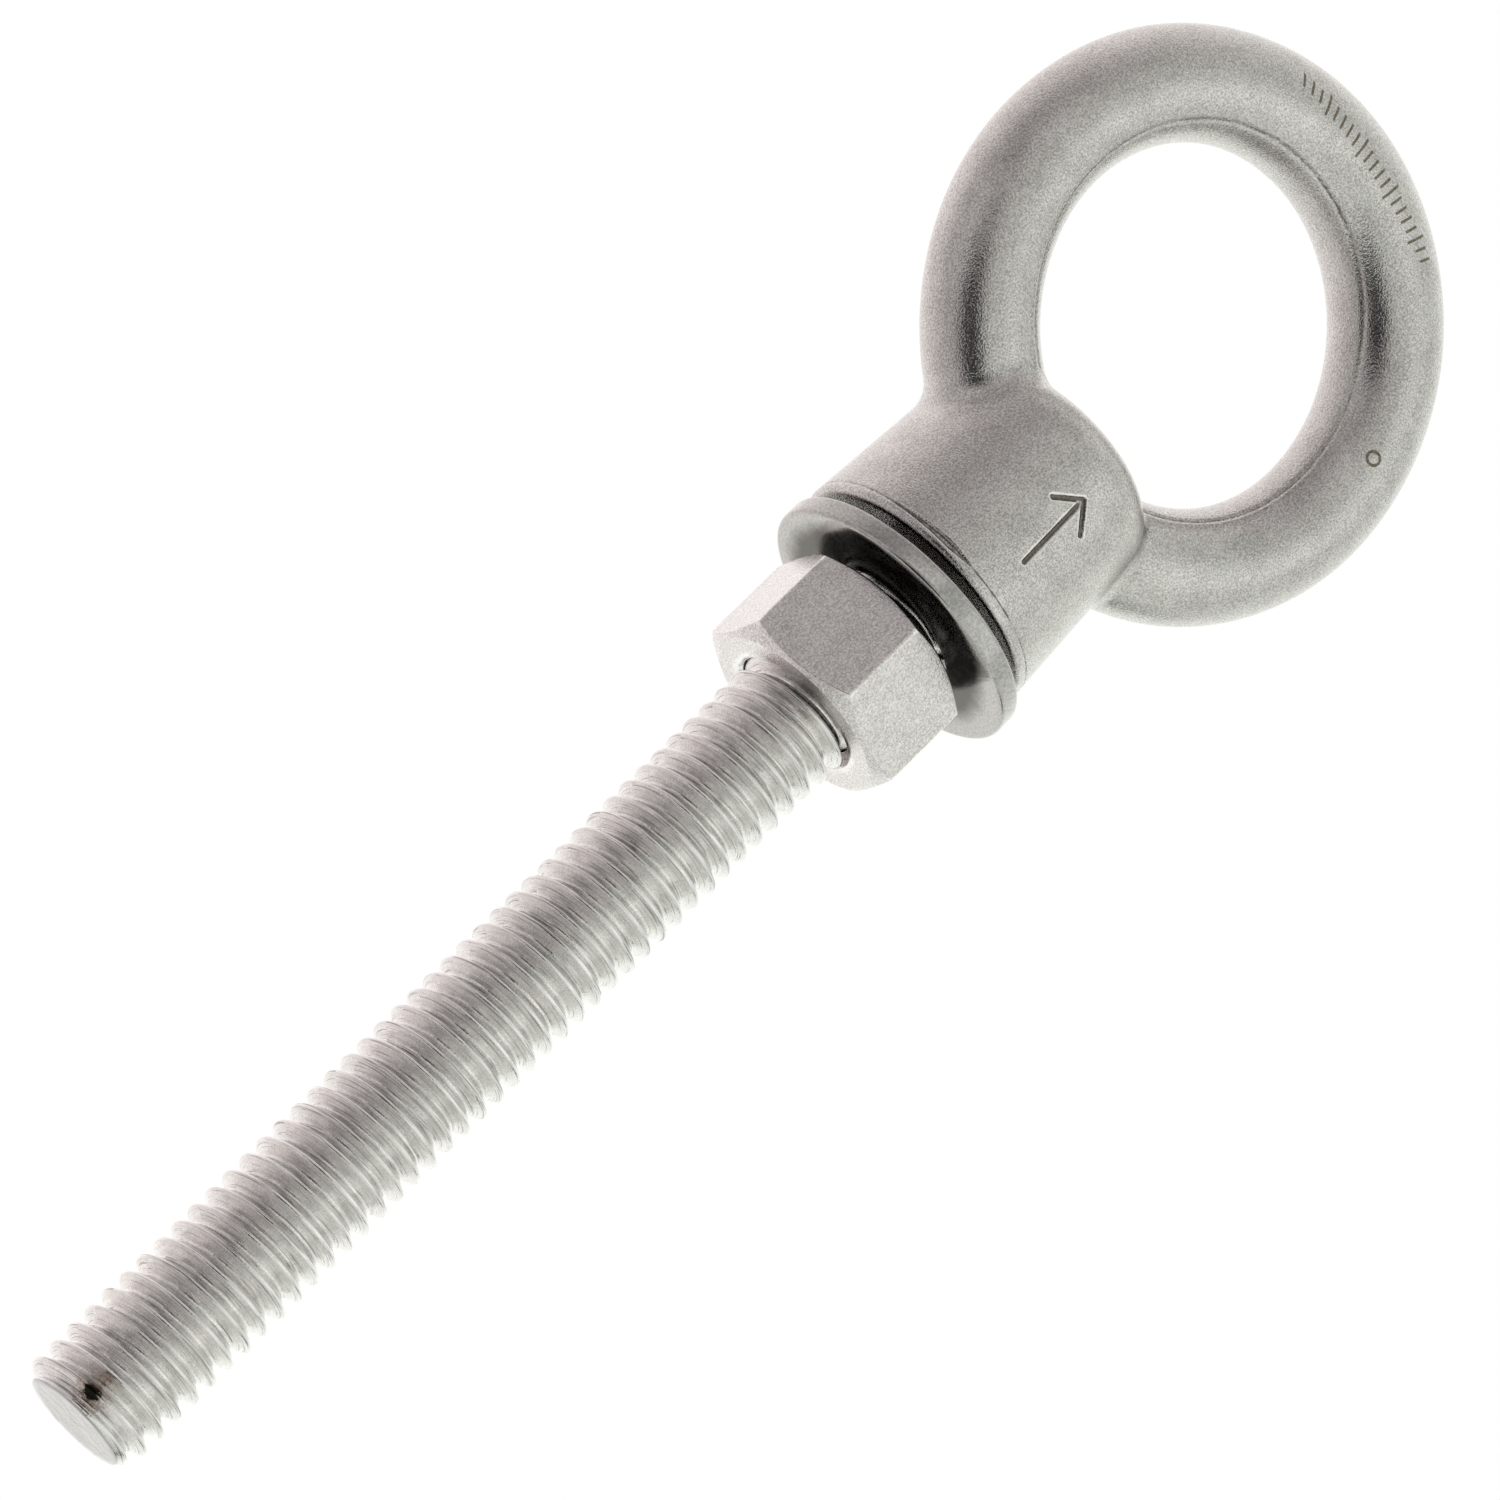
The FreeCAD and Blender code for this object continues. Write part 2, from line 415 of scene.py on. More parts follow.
def store_relief(mesh: bpy.types.Mesh) -> None:
    """Store how far each point stands proud of its neighbours, as masks for the bright edges (wear and
    painted highlight) and the dark hollows (grime and painted shade).

    Args:
        mesh: The mesh, which gets the point attributes "proud" and "hollow".
    """
    count = len(mesh.vertices)
    points = read_triples(mesh.vertices, "co") / MM
    normals = read_triples(mesh.vertices, "normal")
    ends = np.empty(len(mesh.edges) * 2, np.int64)
    mesh.edges.foreach_get("vertices", ends)
    first, second = ends.reshape(-1, 2).T

    def gathered(at_first: np.ndarray, at_second: np.ndarray) -> np.ndarray:
        """Return, for each point, the sum of what its edges bring to it."""
        return np.bincount(first, at_first, count) + np.bincount(second, at_second, count)

    number = np.maximum(gathered(np.ones(len(first)), np.ones(len(first))), 1)
    mean = np.stack([gathered(values[second], values[first]) / number for values in points.T], 1)
    spans = ((points[first] - points[second]) ** 2).sum(1)
    area = gathered(spans, spans) / number
    bend = ((points - mean) * normals).sum(1) / np.maximum(area, 1e-6)
    for _ in range(2):
        bend = (bend + gathered(bend[second], bend[first]) / number) / 2
    for name, values in (("proud", bend), ("hollow", -bend)):
        layer = mesh.attributes.new(name, "FLOAT", "POINT")
        layer.data.foreach_set("value", np.clip(values, 0, 1).astype(np.float32))


# ---------------------------------------------------------------------------
# finishes
# ---------------------------------------------------------------------------


@dataclass
class Graph:
    """Short calls for wiring one node tree.

    Attributes:
        tree: The node tree.
    """

    tree: bpy.types.NodeTree

    def node(self, kind: str, settings: Optional[Dict[str, object]] = None, **inputs: Value) -> Node:
        """Add a node.

        Args:
            kind: Type of node, without its common prefix.
            settings: Attributes to set on the node.
            **inputs: Values or sockets for its inputs, with _ for a space.

        Returns:
            The new node.
        """
        made = self.tree.nodes.new("Shader" + kind)
        for name, setting in (settings or {}).items():
            setattr(made, name, setting)
        for name, value in inputs.items():
            self.put(made.inputs[name.replace("_", " ")], value)
        return made

    def effect(self, tree: bpy.types.NodeTree, **inputs: Value) -> Mapping[str, Socket]:
        """Place a node group and return its outputs."""
        return self.node("NodeGroup", {"node_tree": tree}, **inputs).outputs

    def put(self, socket: Socket, value: Value) -> None:
        """Link a socket into an input, or set the input's value.

        Args:
            socket: The input.
            value: What goes into it.
        """
        if isinstance(value, bpy.types.NodeSocket):
            self.tree.links.new(value, socket)
        else:
            socket.default_value = value

    def _worked(self, kind: str, operation: str, values: Sequence[Value]) -> Node:
        """Add a maths node of a kind and fill its inputs in order.

        Args:
            kind: Type of node.
            operation: What it works out.
            values: What goes into it.

        Returns:
            The new node.
        """
        made = self.node(kind, {"operation": operation})
        for socket, value in zip(made.inputs, values):
            self.put(socket, value)
        return made

    def math(self, operation: str, *values: Value, clamp: bool = False) -> Socket:
        """Add a maths node.

        Args:
            operation: What it works out.
            *values: What goes into it.
            clamp: Whether the result is held between 0 and 1.

        Returns:
            The result.
        """
        made = self._worked("NodeMath", operation, values)
        made.use_clamp = clamp
        return made.outputs[0]

    def distance(self, first: Value, second: Value) -> Socket:
        """Return the distance between two places."""
        return self._worked("NodeVectorMath", "DISTANCE", (first, second)).outputs["Value"]

    def toward(self, way: Socket, axis: Vector) -> Socket:
        """Return how far a direction points along an axis."""
        return self._worked("NodeVectorMath", "DOT_PRODUCT", (way, tuple(axis))).outputs["Value"]

    def plus(self, first: Value, second: Value) -> Socket:
        """Return the sum of two values."""
        return self.math("ADD", first, second)

    def minus(self, first: Value, second: Value) -> Socket:
        """Return the first value less the second."""
        return self.math("SUBTRACT", first, second)

    def times(self, first: Value, second: Value) -> Socket:
        """Return the product of two values."""
        return self.math("MULTIPLY", first, second)

    def scaled(self, value: Value, factor: Value, added: Value) -> Socket:
        """Return a value times a factor, with another value added."""
        return self.math("MULTIPLY_ADD", value, factor, added)

    def length(self, first: Value, second: Value) -> Socket:
        """Return the length of the vector with these two parts."""
        return self.math("SQRT", self.plus(self.math("POWER", first, 2), self.math("POWER", second, 2)))

    def split(self, vector: Value) -> Sequence[Socket]:
        """Return the three parts of a vector."""
        return self.node("NodeSeparateXYZ", Vector=vector).outputs

    def joined(self, across: Value, front: Value, height: Value) -> Socket:
        """Return the vector with these three parts."""
        return self.node("NodeCombineXYZ", X=across, Y=front, Z=height).outputs[0]

    def spread(self, value: Value, low: Value, high: Value, to_low: float = 0, to_high: float = 1) -> Socket:
        """Map a range of a value to another range, smoothly and clamped.

        Args:
            value: The value.
            low: Start of its range.
            high: End of its range.
            to_low: What the start becomes.
            to_high: What the end becomes.

        Returns:
            The mapped value.
        """
        made = self.node("NodeMapRange", {"interpolation_type": "SMOOTHSTEP"})
        for socket, number in zip(made.inputs, (value, low, high, to_low, to_high)):
            self.put(socket, number)
        return made.outputs[0]

    def noise(self, vector: Value, scale: Value, detail: float = 2, roughness: float = 0.5) -> Socket:
        """Add three-dimensional noise and return its value."""
        made = self.node("NodeTexNoise", Vector=vector, Scale=scale, Detail=detail, Roughness=roughness)
        return made.outputs["Fac"]

    def blend(self, share: Value, first: Value, second: Value) -> Socket:
        """Mix two colours.

        Args:
            share: How much of the second colour there is.
            first: The first colour.
            second: The second colour.

        Returns:
            The mixed colour.
        """
        made = self.node("NodeMix", {"data_type": "RGBA"})
        colours = [socket for socket in made.inputs if socket.type == "RGBA"]
        self.put(made.inputs[0], share)
        for socket, value in zip(colours, (first, second)):
            self.put(socket, value if isinstance(value, bpy.types.NodeSocket) else (*value, 1.0))
        return next(socket for socket in made.outputs if socket.type == "RGBA")

    def attribute(self, name: str) -> Socket:
        """Return a mask that is stored on the mesh."""
        return self.node("NodeAttribute", {"attribute_name": name}).outputs["Fac"]


class EffectGroup(Graph):
    """A shader node group that takes a place in millimetres and puts out values."""

    def __init__(self, name: str, inputs: Dict[str, Optional[float]], outputs: Sequence[str]) -> None:
        """Start the group.

        Args:
            name: Name of the group.
            inputs: Default of each input after the place, or None for a vector.
            outputs: Name of each output.
        """
        super().__init__(bpy.data.node_groups.new(name, "ShaderNodeTree"))
        for title, default in {"Vector": None, **inputs}.items():
            kind = "NodeSocketVector" if default is None else "NodeSocketFloat"
            socket = self.tree.interface.new_socket(title, in_out="INPUT", socket_type=kind)
            if default is not None:
                socket.default_value = default
        for title in outputs:
            self.tree.interface.new_socket(title, in_out="OUTPUT", socket_type="NodeSocketFloat")
        self.given = self.tree.nodes.new("NodeGroupInput").outputs
        self.place = self.given["Vector"]
        self.result = self.tree.nodes.new("NodeGroupOutput").inputs

    def give(self, **values: Socket) -> bpy.types.NodeTree:
        """Wire the outputs.

        Args:
            **values: What each output puts out.

        Returns:
            The finished group.
        """
        for name, value in values.items():
            self.put(self.result[name], value)
        return self.tree


@dataclass(frozen=True)
class RingMarks:
    """A row of plain burnt tick marks round the ring, and a small circle.

    Turns go round the ring from its top and leans round its section from the front, in degrees.

    Attributes:
        step: Turn from one tick to the next.
        first: Turn where the row starts.
        last: Turn where it ends.
        half_length: Half the lean that a tick covers.
        extra: What a long tick has more than that; every fifth is long.
        middle: Turn where the row lies furthest forward.
        bow: How fast the row leans outwards away from there.
        circle: Turn and lean of the circle's middle.
        circle_radii: Inner and outer radius of the circle, as turns.
    """

    step: float = 2.6
    first: float = -28.6
    last: float = 26.0
    half_length: float = 8.0
    extra: float = 4.0
    middle: float = 1.5
    bow: float = 0.0385
    circle: Tuple[float, float] = (75.0, -12.0)
    circle_radii: Tuple[float, float] = (1.35, 2.15)

    def tree(self) -> bpy.types.NodeTree:
        """Build the marks' node group.

        Returns:
            The finished group.
        """
        group = EffectGroup("Ring marks", {"Centre Height": 29.0, "Ring Radius": 16.9}, ["Mask"])
        across, front, height = group.split(group.place)
        rise = group.minus(height, group.given["Centre Height"])
        outward = group.minus(group.length(across, rise), group.given["Ring Radius"])
        turn = group.times(group.math("ARCTAN2", across, rise), 180 / math.pi)
        lean = group.times(group.math("ARCTAN2", outward, group.times(front, -1)), 180 / math.pi)
        marks = group.math("MAXIMUM", self._ticks(group, turn, lean), self._circle(group, turn, lean))
        burn = group.spread(group.noise(group.place, 7.0, 2), 0.2, 0.6, 0.6, 1)
        return group.give(Mask=group.times(marks, burn))

    def _ticks(self, group: EffectGroup, turn: Socket, lean: Socket) -> Socket:
        """Draw the row of ticks.

        Args:
            group: The group that they are drawn in.
            turn: Turn of the place.
            lean: Lean of the place.

        Returns:
            One on the ticks and zero between them.
        """
        number = group.math("DIVIDE", turn, self.step)
        comb = group.math("ABSOLUTE", group.minus(group.math("FRACT", number), 0.5))
        fifth = group.math("ABSOLUTE", group.minus(group.math("FRACT", group.math("DIVIDE", number, 5)), 0.5))
        reach = group.plus(self.half_length, group.times(group.spread(fifth, 0.10, 0.11, 1, 0), self.extra))
        away = group.times(group.minus(turn, self.middle), self.bow)
        row = group.scaled(group.math("POWER", away, 2), 17.0, 3.0)
        offset = group.math("ABSOLUTE", group.minus(lean, row))
        band = group.spread(group.minus(offset, reach), -1.0, 0.8, 1, 0)
        start = group.spread(turn, self.first - 0.1, self.first + 0.1)
        window = group.times(start, group.spread(turn, self.last - 0.1, self.last + 0.1, 1, 0))
        return group.times(group.times(group.spread(comb, 0.10, 0.16, 1, 0), band), window)

    def _circle(self, group: EffectGroup, turn: Socket, lean: Socket) -> Socket:
        """Draw the small circle.

        Args:
            group: The group that it is drawn in.
            turn: Turn of the place.
            lean: Lean of the place.

        Returns:
            One on the circle and zero off it.
        """
        inner, outer = self.circle_radii
        beside, above = group.minus(turn, self.circle[0]), group.minus(lean, self.circle[1])
        away = group.length(beside, group.times(above, 0.25))
        inside = group.spread(away, outer - 0.15, outer + 0.15, 1, 0)
        return group.times(inside, group.spread(away, inner - 0.15, inner + 0.15))


class SharedEffects:
    """The node groups that the finishes place with their own values, each built once."""

    def __init__(self) -> None:
        """Build every group."""
        self.grain = self._grain()
        self.wear = self._wear()
        self.soil = self._soil()
        self.scratches = self._scratches()
        self.ring_marks = RingMarks().tree()
        self.film = self._film()
        self.stain = self._stain()
        self.rolling = self._rolling()

    @staticmethod
    def _grain() -> bpy.types.NodeTree:
        """Build the tumbled grain: fine pits over soft mottling.

        Returns:
            The finished group.
        """
        scales = {"Fine Scale": 5.0, "Mottle Scale": 0.7}
        group = EffectGroup("Metal grain", scales, ["Height", "Tone", "Gloss"])
        fine = group.noise(group.place, group.given["Fine Scale"], 1.5, 0.6)
        coarse = group.noise(group.place, group.given["Mottle Scale"], 3, 0.55)
        tone = group.plus(group.times(fine, 0.8), group.times(coarse, 0.2))
        gloss = group.spread(coarse, 0.30, 0.70)
        return group.give(Height=fine, Tone=group.spread(tone, 0.30, 0.70), Gloss=gloss)

    @staticmethod
    def _wear() -> bpy.types.NodeTree:
        """Build the bright edges, partly rubbed wear and partly painted highlight, broken up so that they
        aren't even.

        Returns:
            The finished group.
        """
        # This mask lightens convex edges and thread crests: rubbed wear, and a painted highlight.
        group = EffectGroup("Edge wear", {"Edge": 0.0, "Start": 0.2, "Full": 0.7}, ["Mask"])
        patchy = group.spread(group.noise(group.place, 1.3, 3, 0.6), 0.25, 0.6, 0.55, 1.15)
        edge = group.times(group.given["Edge"], patchy)
        return group.give(Mask=group.spread(edge, group.given["Start"], group.given["Full"]))

    @staticmethod
    def _soil() -> bpy.types.NodeTree:
        """Build the darkening in hollows and pits: grime, and painted shade where the hollows lie in shade.

        Returns:
            The finished group.
        """
        group = EffectGroup("Hollow soil", {"Hollow": 0.0, "Reach": 0.5}, ["Mask"])
        # This darkens concave places, thread roots and the ring's creases: grime, and painted shade.
        speckle = group.spread(group.noise(group.place, 3.1, 4, 0.7), 0.3, 0.65, 0.45, 1.3)
        depth = group.times(group.given["Hollow"], speckle)
        return group.give(Mask=group.spread(depth, 0.04, group.given["Reach"]))

    @staticmethod
    def _scratches() -> bpy.types.NodeTree:
        """Build the fine hairline scratches that run three ways.

        Returns:
            The finished group.
        """
        group = EffectGroup("Hairlines", {"Density": 1.0}, ["Mask"])
        strokes: Value = 0.0
        for turn, stretch in ((0.4, 9.0), (1.5, 12.0), (2.6, 10.0)):
            mapping = group.node(
                "NodeMapping",
                Vector=group.place,
                Rotation=(turn, 0.7 * turn, turn),
                Scale=(0.35, stretch, stretch),
            )
            stroke = group.spread(group.noise(mapping.outputs[0], group.given["Density"], 2), 0.62, 0.74)
            strokes = group.math("MAXIMUM", strokes, stroke)
        return group.give(Mask=strokes)

    @staticmethod
    def _film() -> bpy.types.NodeTree:
        """Build the painted shade on faces close round the shank, in the gaps between the nut, the washer and
        the boss.

        Returns:
            The finished group.
        """
        sizes = {"Full Radius": 8.0, "Clean Radius": 9.4, "Lowest": -100.0}
        group = EffectGroup("Sheltered film", sizes, ["Mask"])
        across, front, height = group.split(group.place)
        # Everything inside a radius round the shank is darkened: painted shade.
        ragged = group.noise(group.place, 0.5, 2)
        reach = group.scaled(ragged, 0.8, group.length(across, front))
        near = group.spread(reach, group.given["Full Radius"], group.given["Clean Radius"], 1, 0)
        above = group.spread(group.minus(height, group.given["Lowest"]), -0.1, 0.1)
        return group.give(Mask=group.times(near, above))

    @staticmethod
    def _stain() -> bpy.types.NodeTree:
        """Build a dark blotch with a ragged outline round one spot.

        Returns:
            The finished group.
        """
        group = EffectGroup("Burnt stain", {"Spot": None, "Size": 1.0}, ["Mask"])
        away = group.distance(group.place, group.given["Spot"])
        ragged = group.scaled(group.noise(group.place, 2.2, 4, 0.7), 2.2, -1.1)
        share = group.plus(group.math("DIVIDE", away, group.given["Size"]), ragged)
        return group.give(Mask=group.spread(share, 0.6, 1.0, 1, 0))

    @staticmethod
    def _rolling() -> bpy.types.NodeTree:
        """Build the fine lines that thread rolling leaves along the helix.

        Returns:
            The finished group.
        """
        group = EffectGroup("Rolling lines", {"Fineness": 9.0}, ["Lines", "Streaks", "Waver"])
        across, front, height = group.split(group.place)
        fineness = group.given["Fineness"]
        reach = group.length(across, front)
        turn = group.math("ARCTAN2", front, across)
        climb = group.scaled(turn, -PITCH / (2 * math.pi), height)
        finely = group.times(climb, group.times(fineness, 0.5))
        drawn_out = group.joined(turn, group.times(reach, fineness), finely)
        bent = group.joined(group.times(turn, 2.4), reach, group.times(climb, 0.6))
        return group.give(
            Lines=group.noise(drawn_out, 1.0, 2, 0.6),
            Streaks=group.spread(group.noise(drawn_out, 0.7, 3, 0.65), 0.40, 0.60),
            Waver=group.noise(bent, 1.0, 1, 0.5),
        )


@dataclass
class Coat:
    """A finish while it is being built up.

    Attributes:
        graph: The material's graph.
        effects: The shared node groups.
        place: The place on the piece, in millimetres.
        colour: Colour so far.
        rough: Roughness so far.
        height: Height of the fine relief so far.
    """

    graph: Graph
    effects: SharedEffects
    place: Socket
    colour: Socket
    rough: Socket
    height: Socket

    def mask(self, tree: bpy.types.NodeTree, **inputs: Value) -> Socket:
        """Place a shared effect and return its mask."""
        return self.graph.effect(tree, Vector=self.place, **inputs)["Mask"]

    def paint(self, mask: Socket, share: float, colour: Triple) -> None:
        """Lay a colour over the finish where a mask shows."""
        self.colour = self.graph.blend(self.graph.times(mask, share), self.colour, colour)


class Layer:
    """Something that only some finishes have on top."""

    def lay(self, coat: Coat) -> None:
        """Lay it on a finish that is being built up."""
        raise NotImplementedError


@dataclass(frozen=True)
class ShelteredFilm(Layer):
    """Painted shade close round the shank: the shade between nut, washer and boss, and on the washer also the
    painted reflection of the nut's shaded top.

    Attributes:
        full: Radius inside which it is full.
        clean: Radius outside which there is none.
        lowest: Height below which there is none.
        colour: Its colour.
        share: How much it covers.
    """

    full: float
    clean: float
    lowest: float = -100.0
    colour: Triple = (0.045, 0.040, 0.028)
    share: float = 0.88

    def lay(self, coat: Coat) -> None:
        """Paint the shade."""
        sizes = {"Full_Radius": self.full, "Clean_Radius": self.clean, "Lowest": self.lowest}
        coat.paint(coat.mask(coat.effects.film, **sizes), self.share, self.colour)


@dataclass(frozen=True)
class RollingLines(Layer):
    """The marks that thread rolling leaves.

    Attributes:
        dull: Colour of the broad streaks.
        scored: Colour of the thin lines.
        fineness: Lines for each millimetre.
        line_height: Height of the lines, in grain depths.
        waver_height: Height of the slow wavering, in grain depths.
    """

    dull: Triple
    scored: Triple = (0.24, 0.225, 0.215)
    fineness: float = 9.0
    line_height: float = 1.1
    waver_height: float = 5.0

    def lay(self, coat: Coat) -> None:
        """Raise the lines and paint them.

        Args:
            coat: The finish that is being built up.
        """
        graph = coat.graph
        rolling = graph.effect(coat.effects.rolling, Vector=coat.place, Fineness=self.fineness)
        coat.height = graph.scaled(rolling["Lines"], self.line_height, coat.height)
        coat.height = graph.scaled(rolling["Waver"], self.waver_height, coat.height)
        coat.paint(rolling["Streaks"], 0.55, self.dull)
        coat.paint(graph.spread(rolling["Lines"], 0.32, 0.44, 1, 0), 0.70, self.scored)


@dataclass(frozen=True)
class SawnEnd(Layer):
    """The duller grey of the shank's cut end.

    Attributes:
        height: Height up to which it shows.
        colour: Its colour.
    """

    height: float = -80.735
    colour: Triple = (0.44, 0.44, 0.44)

    def lay(self, coat: Coat) -> None:
        """Paint the end."""
        along = coat.graph.split(coat.place)[2]
        coat.paint(coat.graph.spread(along, self.height - 0.035, self.height + 0.035, 1, 0), 0.9, self.colour)


@dataclass(frozen=True)
class BurntStain(Layer):
    """A black blotch with a brown halo.

    Attributes:
        middle: Where it is.
        parts: Size, cover and colour of the halo, then of the blotch.
    """

    middle: Triple = (-2.3, -3.95, -79.5)
    parts: Tuple[Tuple[float, float, Triple], ...] = (
        (1.5, 0.55, (0.34, 0.22, 0.13)),
        (0.8, 1.0, (0.012, 0.010, 0.008)),
    )

    def lay(self, coat: Coat) -> None:
        """Paint the halo, then the blotch."""
        for size, share, colour in self.parts:
            coat.paint(coat.mask(coat.effects.stain, Spot=self.middle, Size=size), share, colour)


@dataclass(frozen=True)
class BurntMarks(Layer):
    """The ring's tick marks, burnt brown and a little rougher.

    Attributes:
        colour: Their colour.
        roughness: How much rougher they are than the metal round them.
    """

    colour: Triple = (0.17, 0.14, 0.095)
    roughness: float = 0.2

    def lay(self, coat: Coat) -> None:
        """Paint the marks and roughen them.

        Args:
            coat: The finish that is being built up.
        """
        marks = coat.mask(coat.effects.ring_marks)
        coat.paint(marks, 1.0, self.colour)
        coat.rough = coat.graph.math("ADD", coat.rough, coat.graph.times(marks, self.roughness), clamp=True)


@dataclass(frozen=True)
class Steel:
    """A stainless steel finish.

    The constants say how strongly the bright edges (rubbed wear and painted highlight), the dark hollows
    (grime and painted shade) and hairlines change the metal, on every finish.

    Attributes:
        title: Name of the material.
        bright: Colour of clean metal.
        dull: Colour of the darker mottling.
        soil: Colour of the hollows, for grime and painted shade.
        roughness: Roughness of the clean surface, and how much the mottling adds.
        fine_scale: Grain features for each millimetre.
        mottle_scale: Mottling features for each millimetre.
        grain_depth: Depth of the grain in millimetres.
        wear: Relief at which edges start and finish being made bright, as rubbed wear and painted highlight.
        soil_reach: Relief at which hollows are fully darkened, by grime and painted shade.
        scratches: How strongly hairlines show.
        layers: What lies on top, from the lowest up.
    """

    title: str
    bright: Triple
    dull: Triple
    soil: Triple
    roughness: Tuple[float, float]
    fine_scale: float
    mottle_scale: float
    grain_depth: float
    wear: Tuple[float, float]
    soil_reach: float
    scratches: float
    layers: Tuple[Layer, ...]

    WEAR_SHARE, WEAR_LIGHTER, WEAR_POLISH = 0.8, 1.2, 0.08
    SOIL_SHARE, SOIL_ROUGHNESS = 0.85, 0.25
    HAIRLINE_LIGHTER, HAIRLINE_DEPTH = 1.12, 0.15

    def material(self, effects: SharedEffects) -> bpy.types.Material:
        """Build the material.

        Args:
            effects: The shared node groups.

        Returns:
            The finished material.
        """
        made = bpy.data.materials.new(self.title)
        made.use_nodes = True
        made.node_tree.nodes.clear()
        graph = Graph(made.node_tree)
        coat = self._metal(graph, effects)
        for layer in self.layers:
            layer.lay(coat)
        bump = graph.node("NodeBump", Strength=1.0, Distance=self.grain_depth * MM, Height=coat.height)
        surface = {"Base_Color": coat.colour, "Roughness": coat.rough, "Normal": bump.outputs[0]}
        shader = graph.node("NodeBsdfPrincipled", Metallic=1.0, **surface)
        graph.node("NodeOutputMaterial", Surface=shader.outputs[0])
        return made

    def _metal(self, graph: Graph, effects: SharedEffects) -> Coat:
        """Build the bare metal with its grain, rubbed edges and soiled hollows.

        Args:
            graph: The material's graph.
            effects: The shared node groups.

        Returns:
            The finish so far.
        """
        metres = graph.node("NodeTexCoord").outputs["Object"]
        place = graph.node("NodeVectorMath", {"operation": "SCALE"}, Vector=metres, Scale=1 / MM).outputs[0]
        scales = {"Fine_Scale": self.fine_scale, "Mottle_Scale": self.mottle_scale}
        grain = graph.effect(effects.grain, Vector=place, **scales)
        edges = {"Edge": graph.attribute("proud"), "Start": self.wear[0], "Full": self.wear[1]}
        wear = graph.effect(effects.wear, Vector=place, **edges)["Mask"]
        hollows = {"Hollow": graph.attribute("hollow"), "Reach": self.soil_reach}
        soil = graph.effect(effects.soil, Vector=place, **hollows)["Mask"]
        scratches = graph.effect(effects.scratches, Vector=place, Density=1.0)["Mask"]
        hairlines = graph.times(scratches, self.scratches)
        base, swing = self.roughness
        rough = graph.spread(grain["Gloss"], 0, 1, base, base + swing)
        rough = graph.minus(rough, graph.times(wear, self.WEAR_POLISH))
        rough = graph.math("ADD", rough, graph.times(soil, self.SOIL_ROUGHNESS), clamp=True)
        height = graph.minus(grain["Height"], graph.times(hairlines, self.HAIRLINE_DEPTH))
        colour = graph.blend(grain["Tone"], self.dull, self.bright)
        coat = Coat(graph, effects, place, colour, rough, height)
        coat.paint(hairlines, 1.0, self._lighter(self.HAIRLINE_LIGHTER))
        # Painted highlight as well as wear: convex edges and thread crests are made lighter.
        coat.paint(wear, self.WEAR_SHARE, self._lighter(self.WEAR_LIGHTER))
        # Painted shade as well as grime: hollows, creases and thread roots are darkened.
        coat.paint(soil, self.SOIL_SHARE, self.soil)
        return coat

    def _lighter(self, factor: float) -> Triple:
        """Return the clean metal's colour made lighter, up to white."""
        return tuple(min(1.0, factor * part) for part in self.bright)


CAST_STEEL = Steel(
    title="Tumbled cast stainless",
    bright=(0.80, 0.785, 0.765),
    dull=(0.40, 0.385, 0.37),
    soil=(0.12, 0.105, 0.085),
    roughness=(0.09, 0.08),
    fine_scale=7.5,
    mottle_scale=0.45,
    grain_depth=0.037,
    wear=(0.25, 0.8),
    soil_reach=0.6,
    scratches=0.2,
    layers=(BurntMarks(),),
)
ROLLED_STEEL = Steel(
    title="Rolled thread stainless",
    bright=(1.0, 0.985, 0.97),
    dull=(0.72, 0.705, 0.69),
    soil=(0.10, 0.088, 0.075),
    roughness=(0.06, 0.08),
    fine_scale=8.0,
    mottle_scale=0.9,
    grain_depth=0.016,
    # These low thresholds paint a highlight along the thread crests, beside the rubbed wear.
    wear=(0.08, 0.35),
    # This reach paints shade into the thread roots, beside the grime.
    soil_reach=0.4,
    scratches=0.2,
    layers=(RollingLines(dull=(0.72, 0.705, 0.69)), SawnEnd(), BurntStain()),
)
NUT_STEEL = Steel(
    title="Fine matte stainless",
    bright=(1.0, 0.975, 0.965),
    dull=(0.60, 0.575, 0.565),
    soil=(0.15, 0.13, 0.11),
    roughness=(0.22, 0.08),
    fine_scale=6.5,
    mottle_scale=0.7,
    grain_depth=0.028,
    wear=(0.04, 0.25),
    soil_reach=0.9,
    scratches=0.2,
    # The nut's top face round the bore, which faces the washer, gets painted shade.
    layers=(ShelteredFilm(full=7.6, clean=8.4, lowest=-3.9),),
)
WASHER_STEEL = Steel(
    title="Polished washer stainless",
    bright=(0.60, 0.595, 0.575),
    dull=(0.40, 0.39, 0.375),
    soil=(0.14, 0.12, 0.09),
    roughness=(0.12, 0.08),
    fine_scale=5.0,
    mottle_scale=0.5,
    grain_depth=0.008,
    wear=(0.25, 0.8),
    soil_reach=0.8,
    scratches=0.45,
    # Most of the washer's faces get painted shade, with the painted reflection of the nut's shaded top.
    layers=(ShelteredFilm(full=8.0, clean=9.9),),
)


# ---------------------------------------------------------------------------
# pieces
# ---------------------------------------------------------------------------


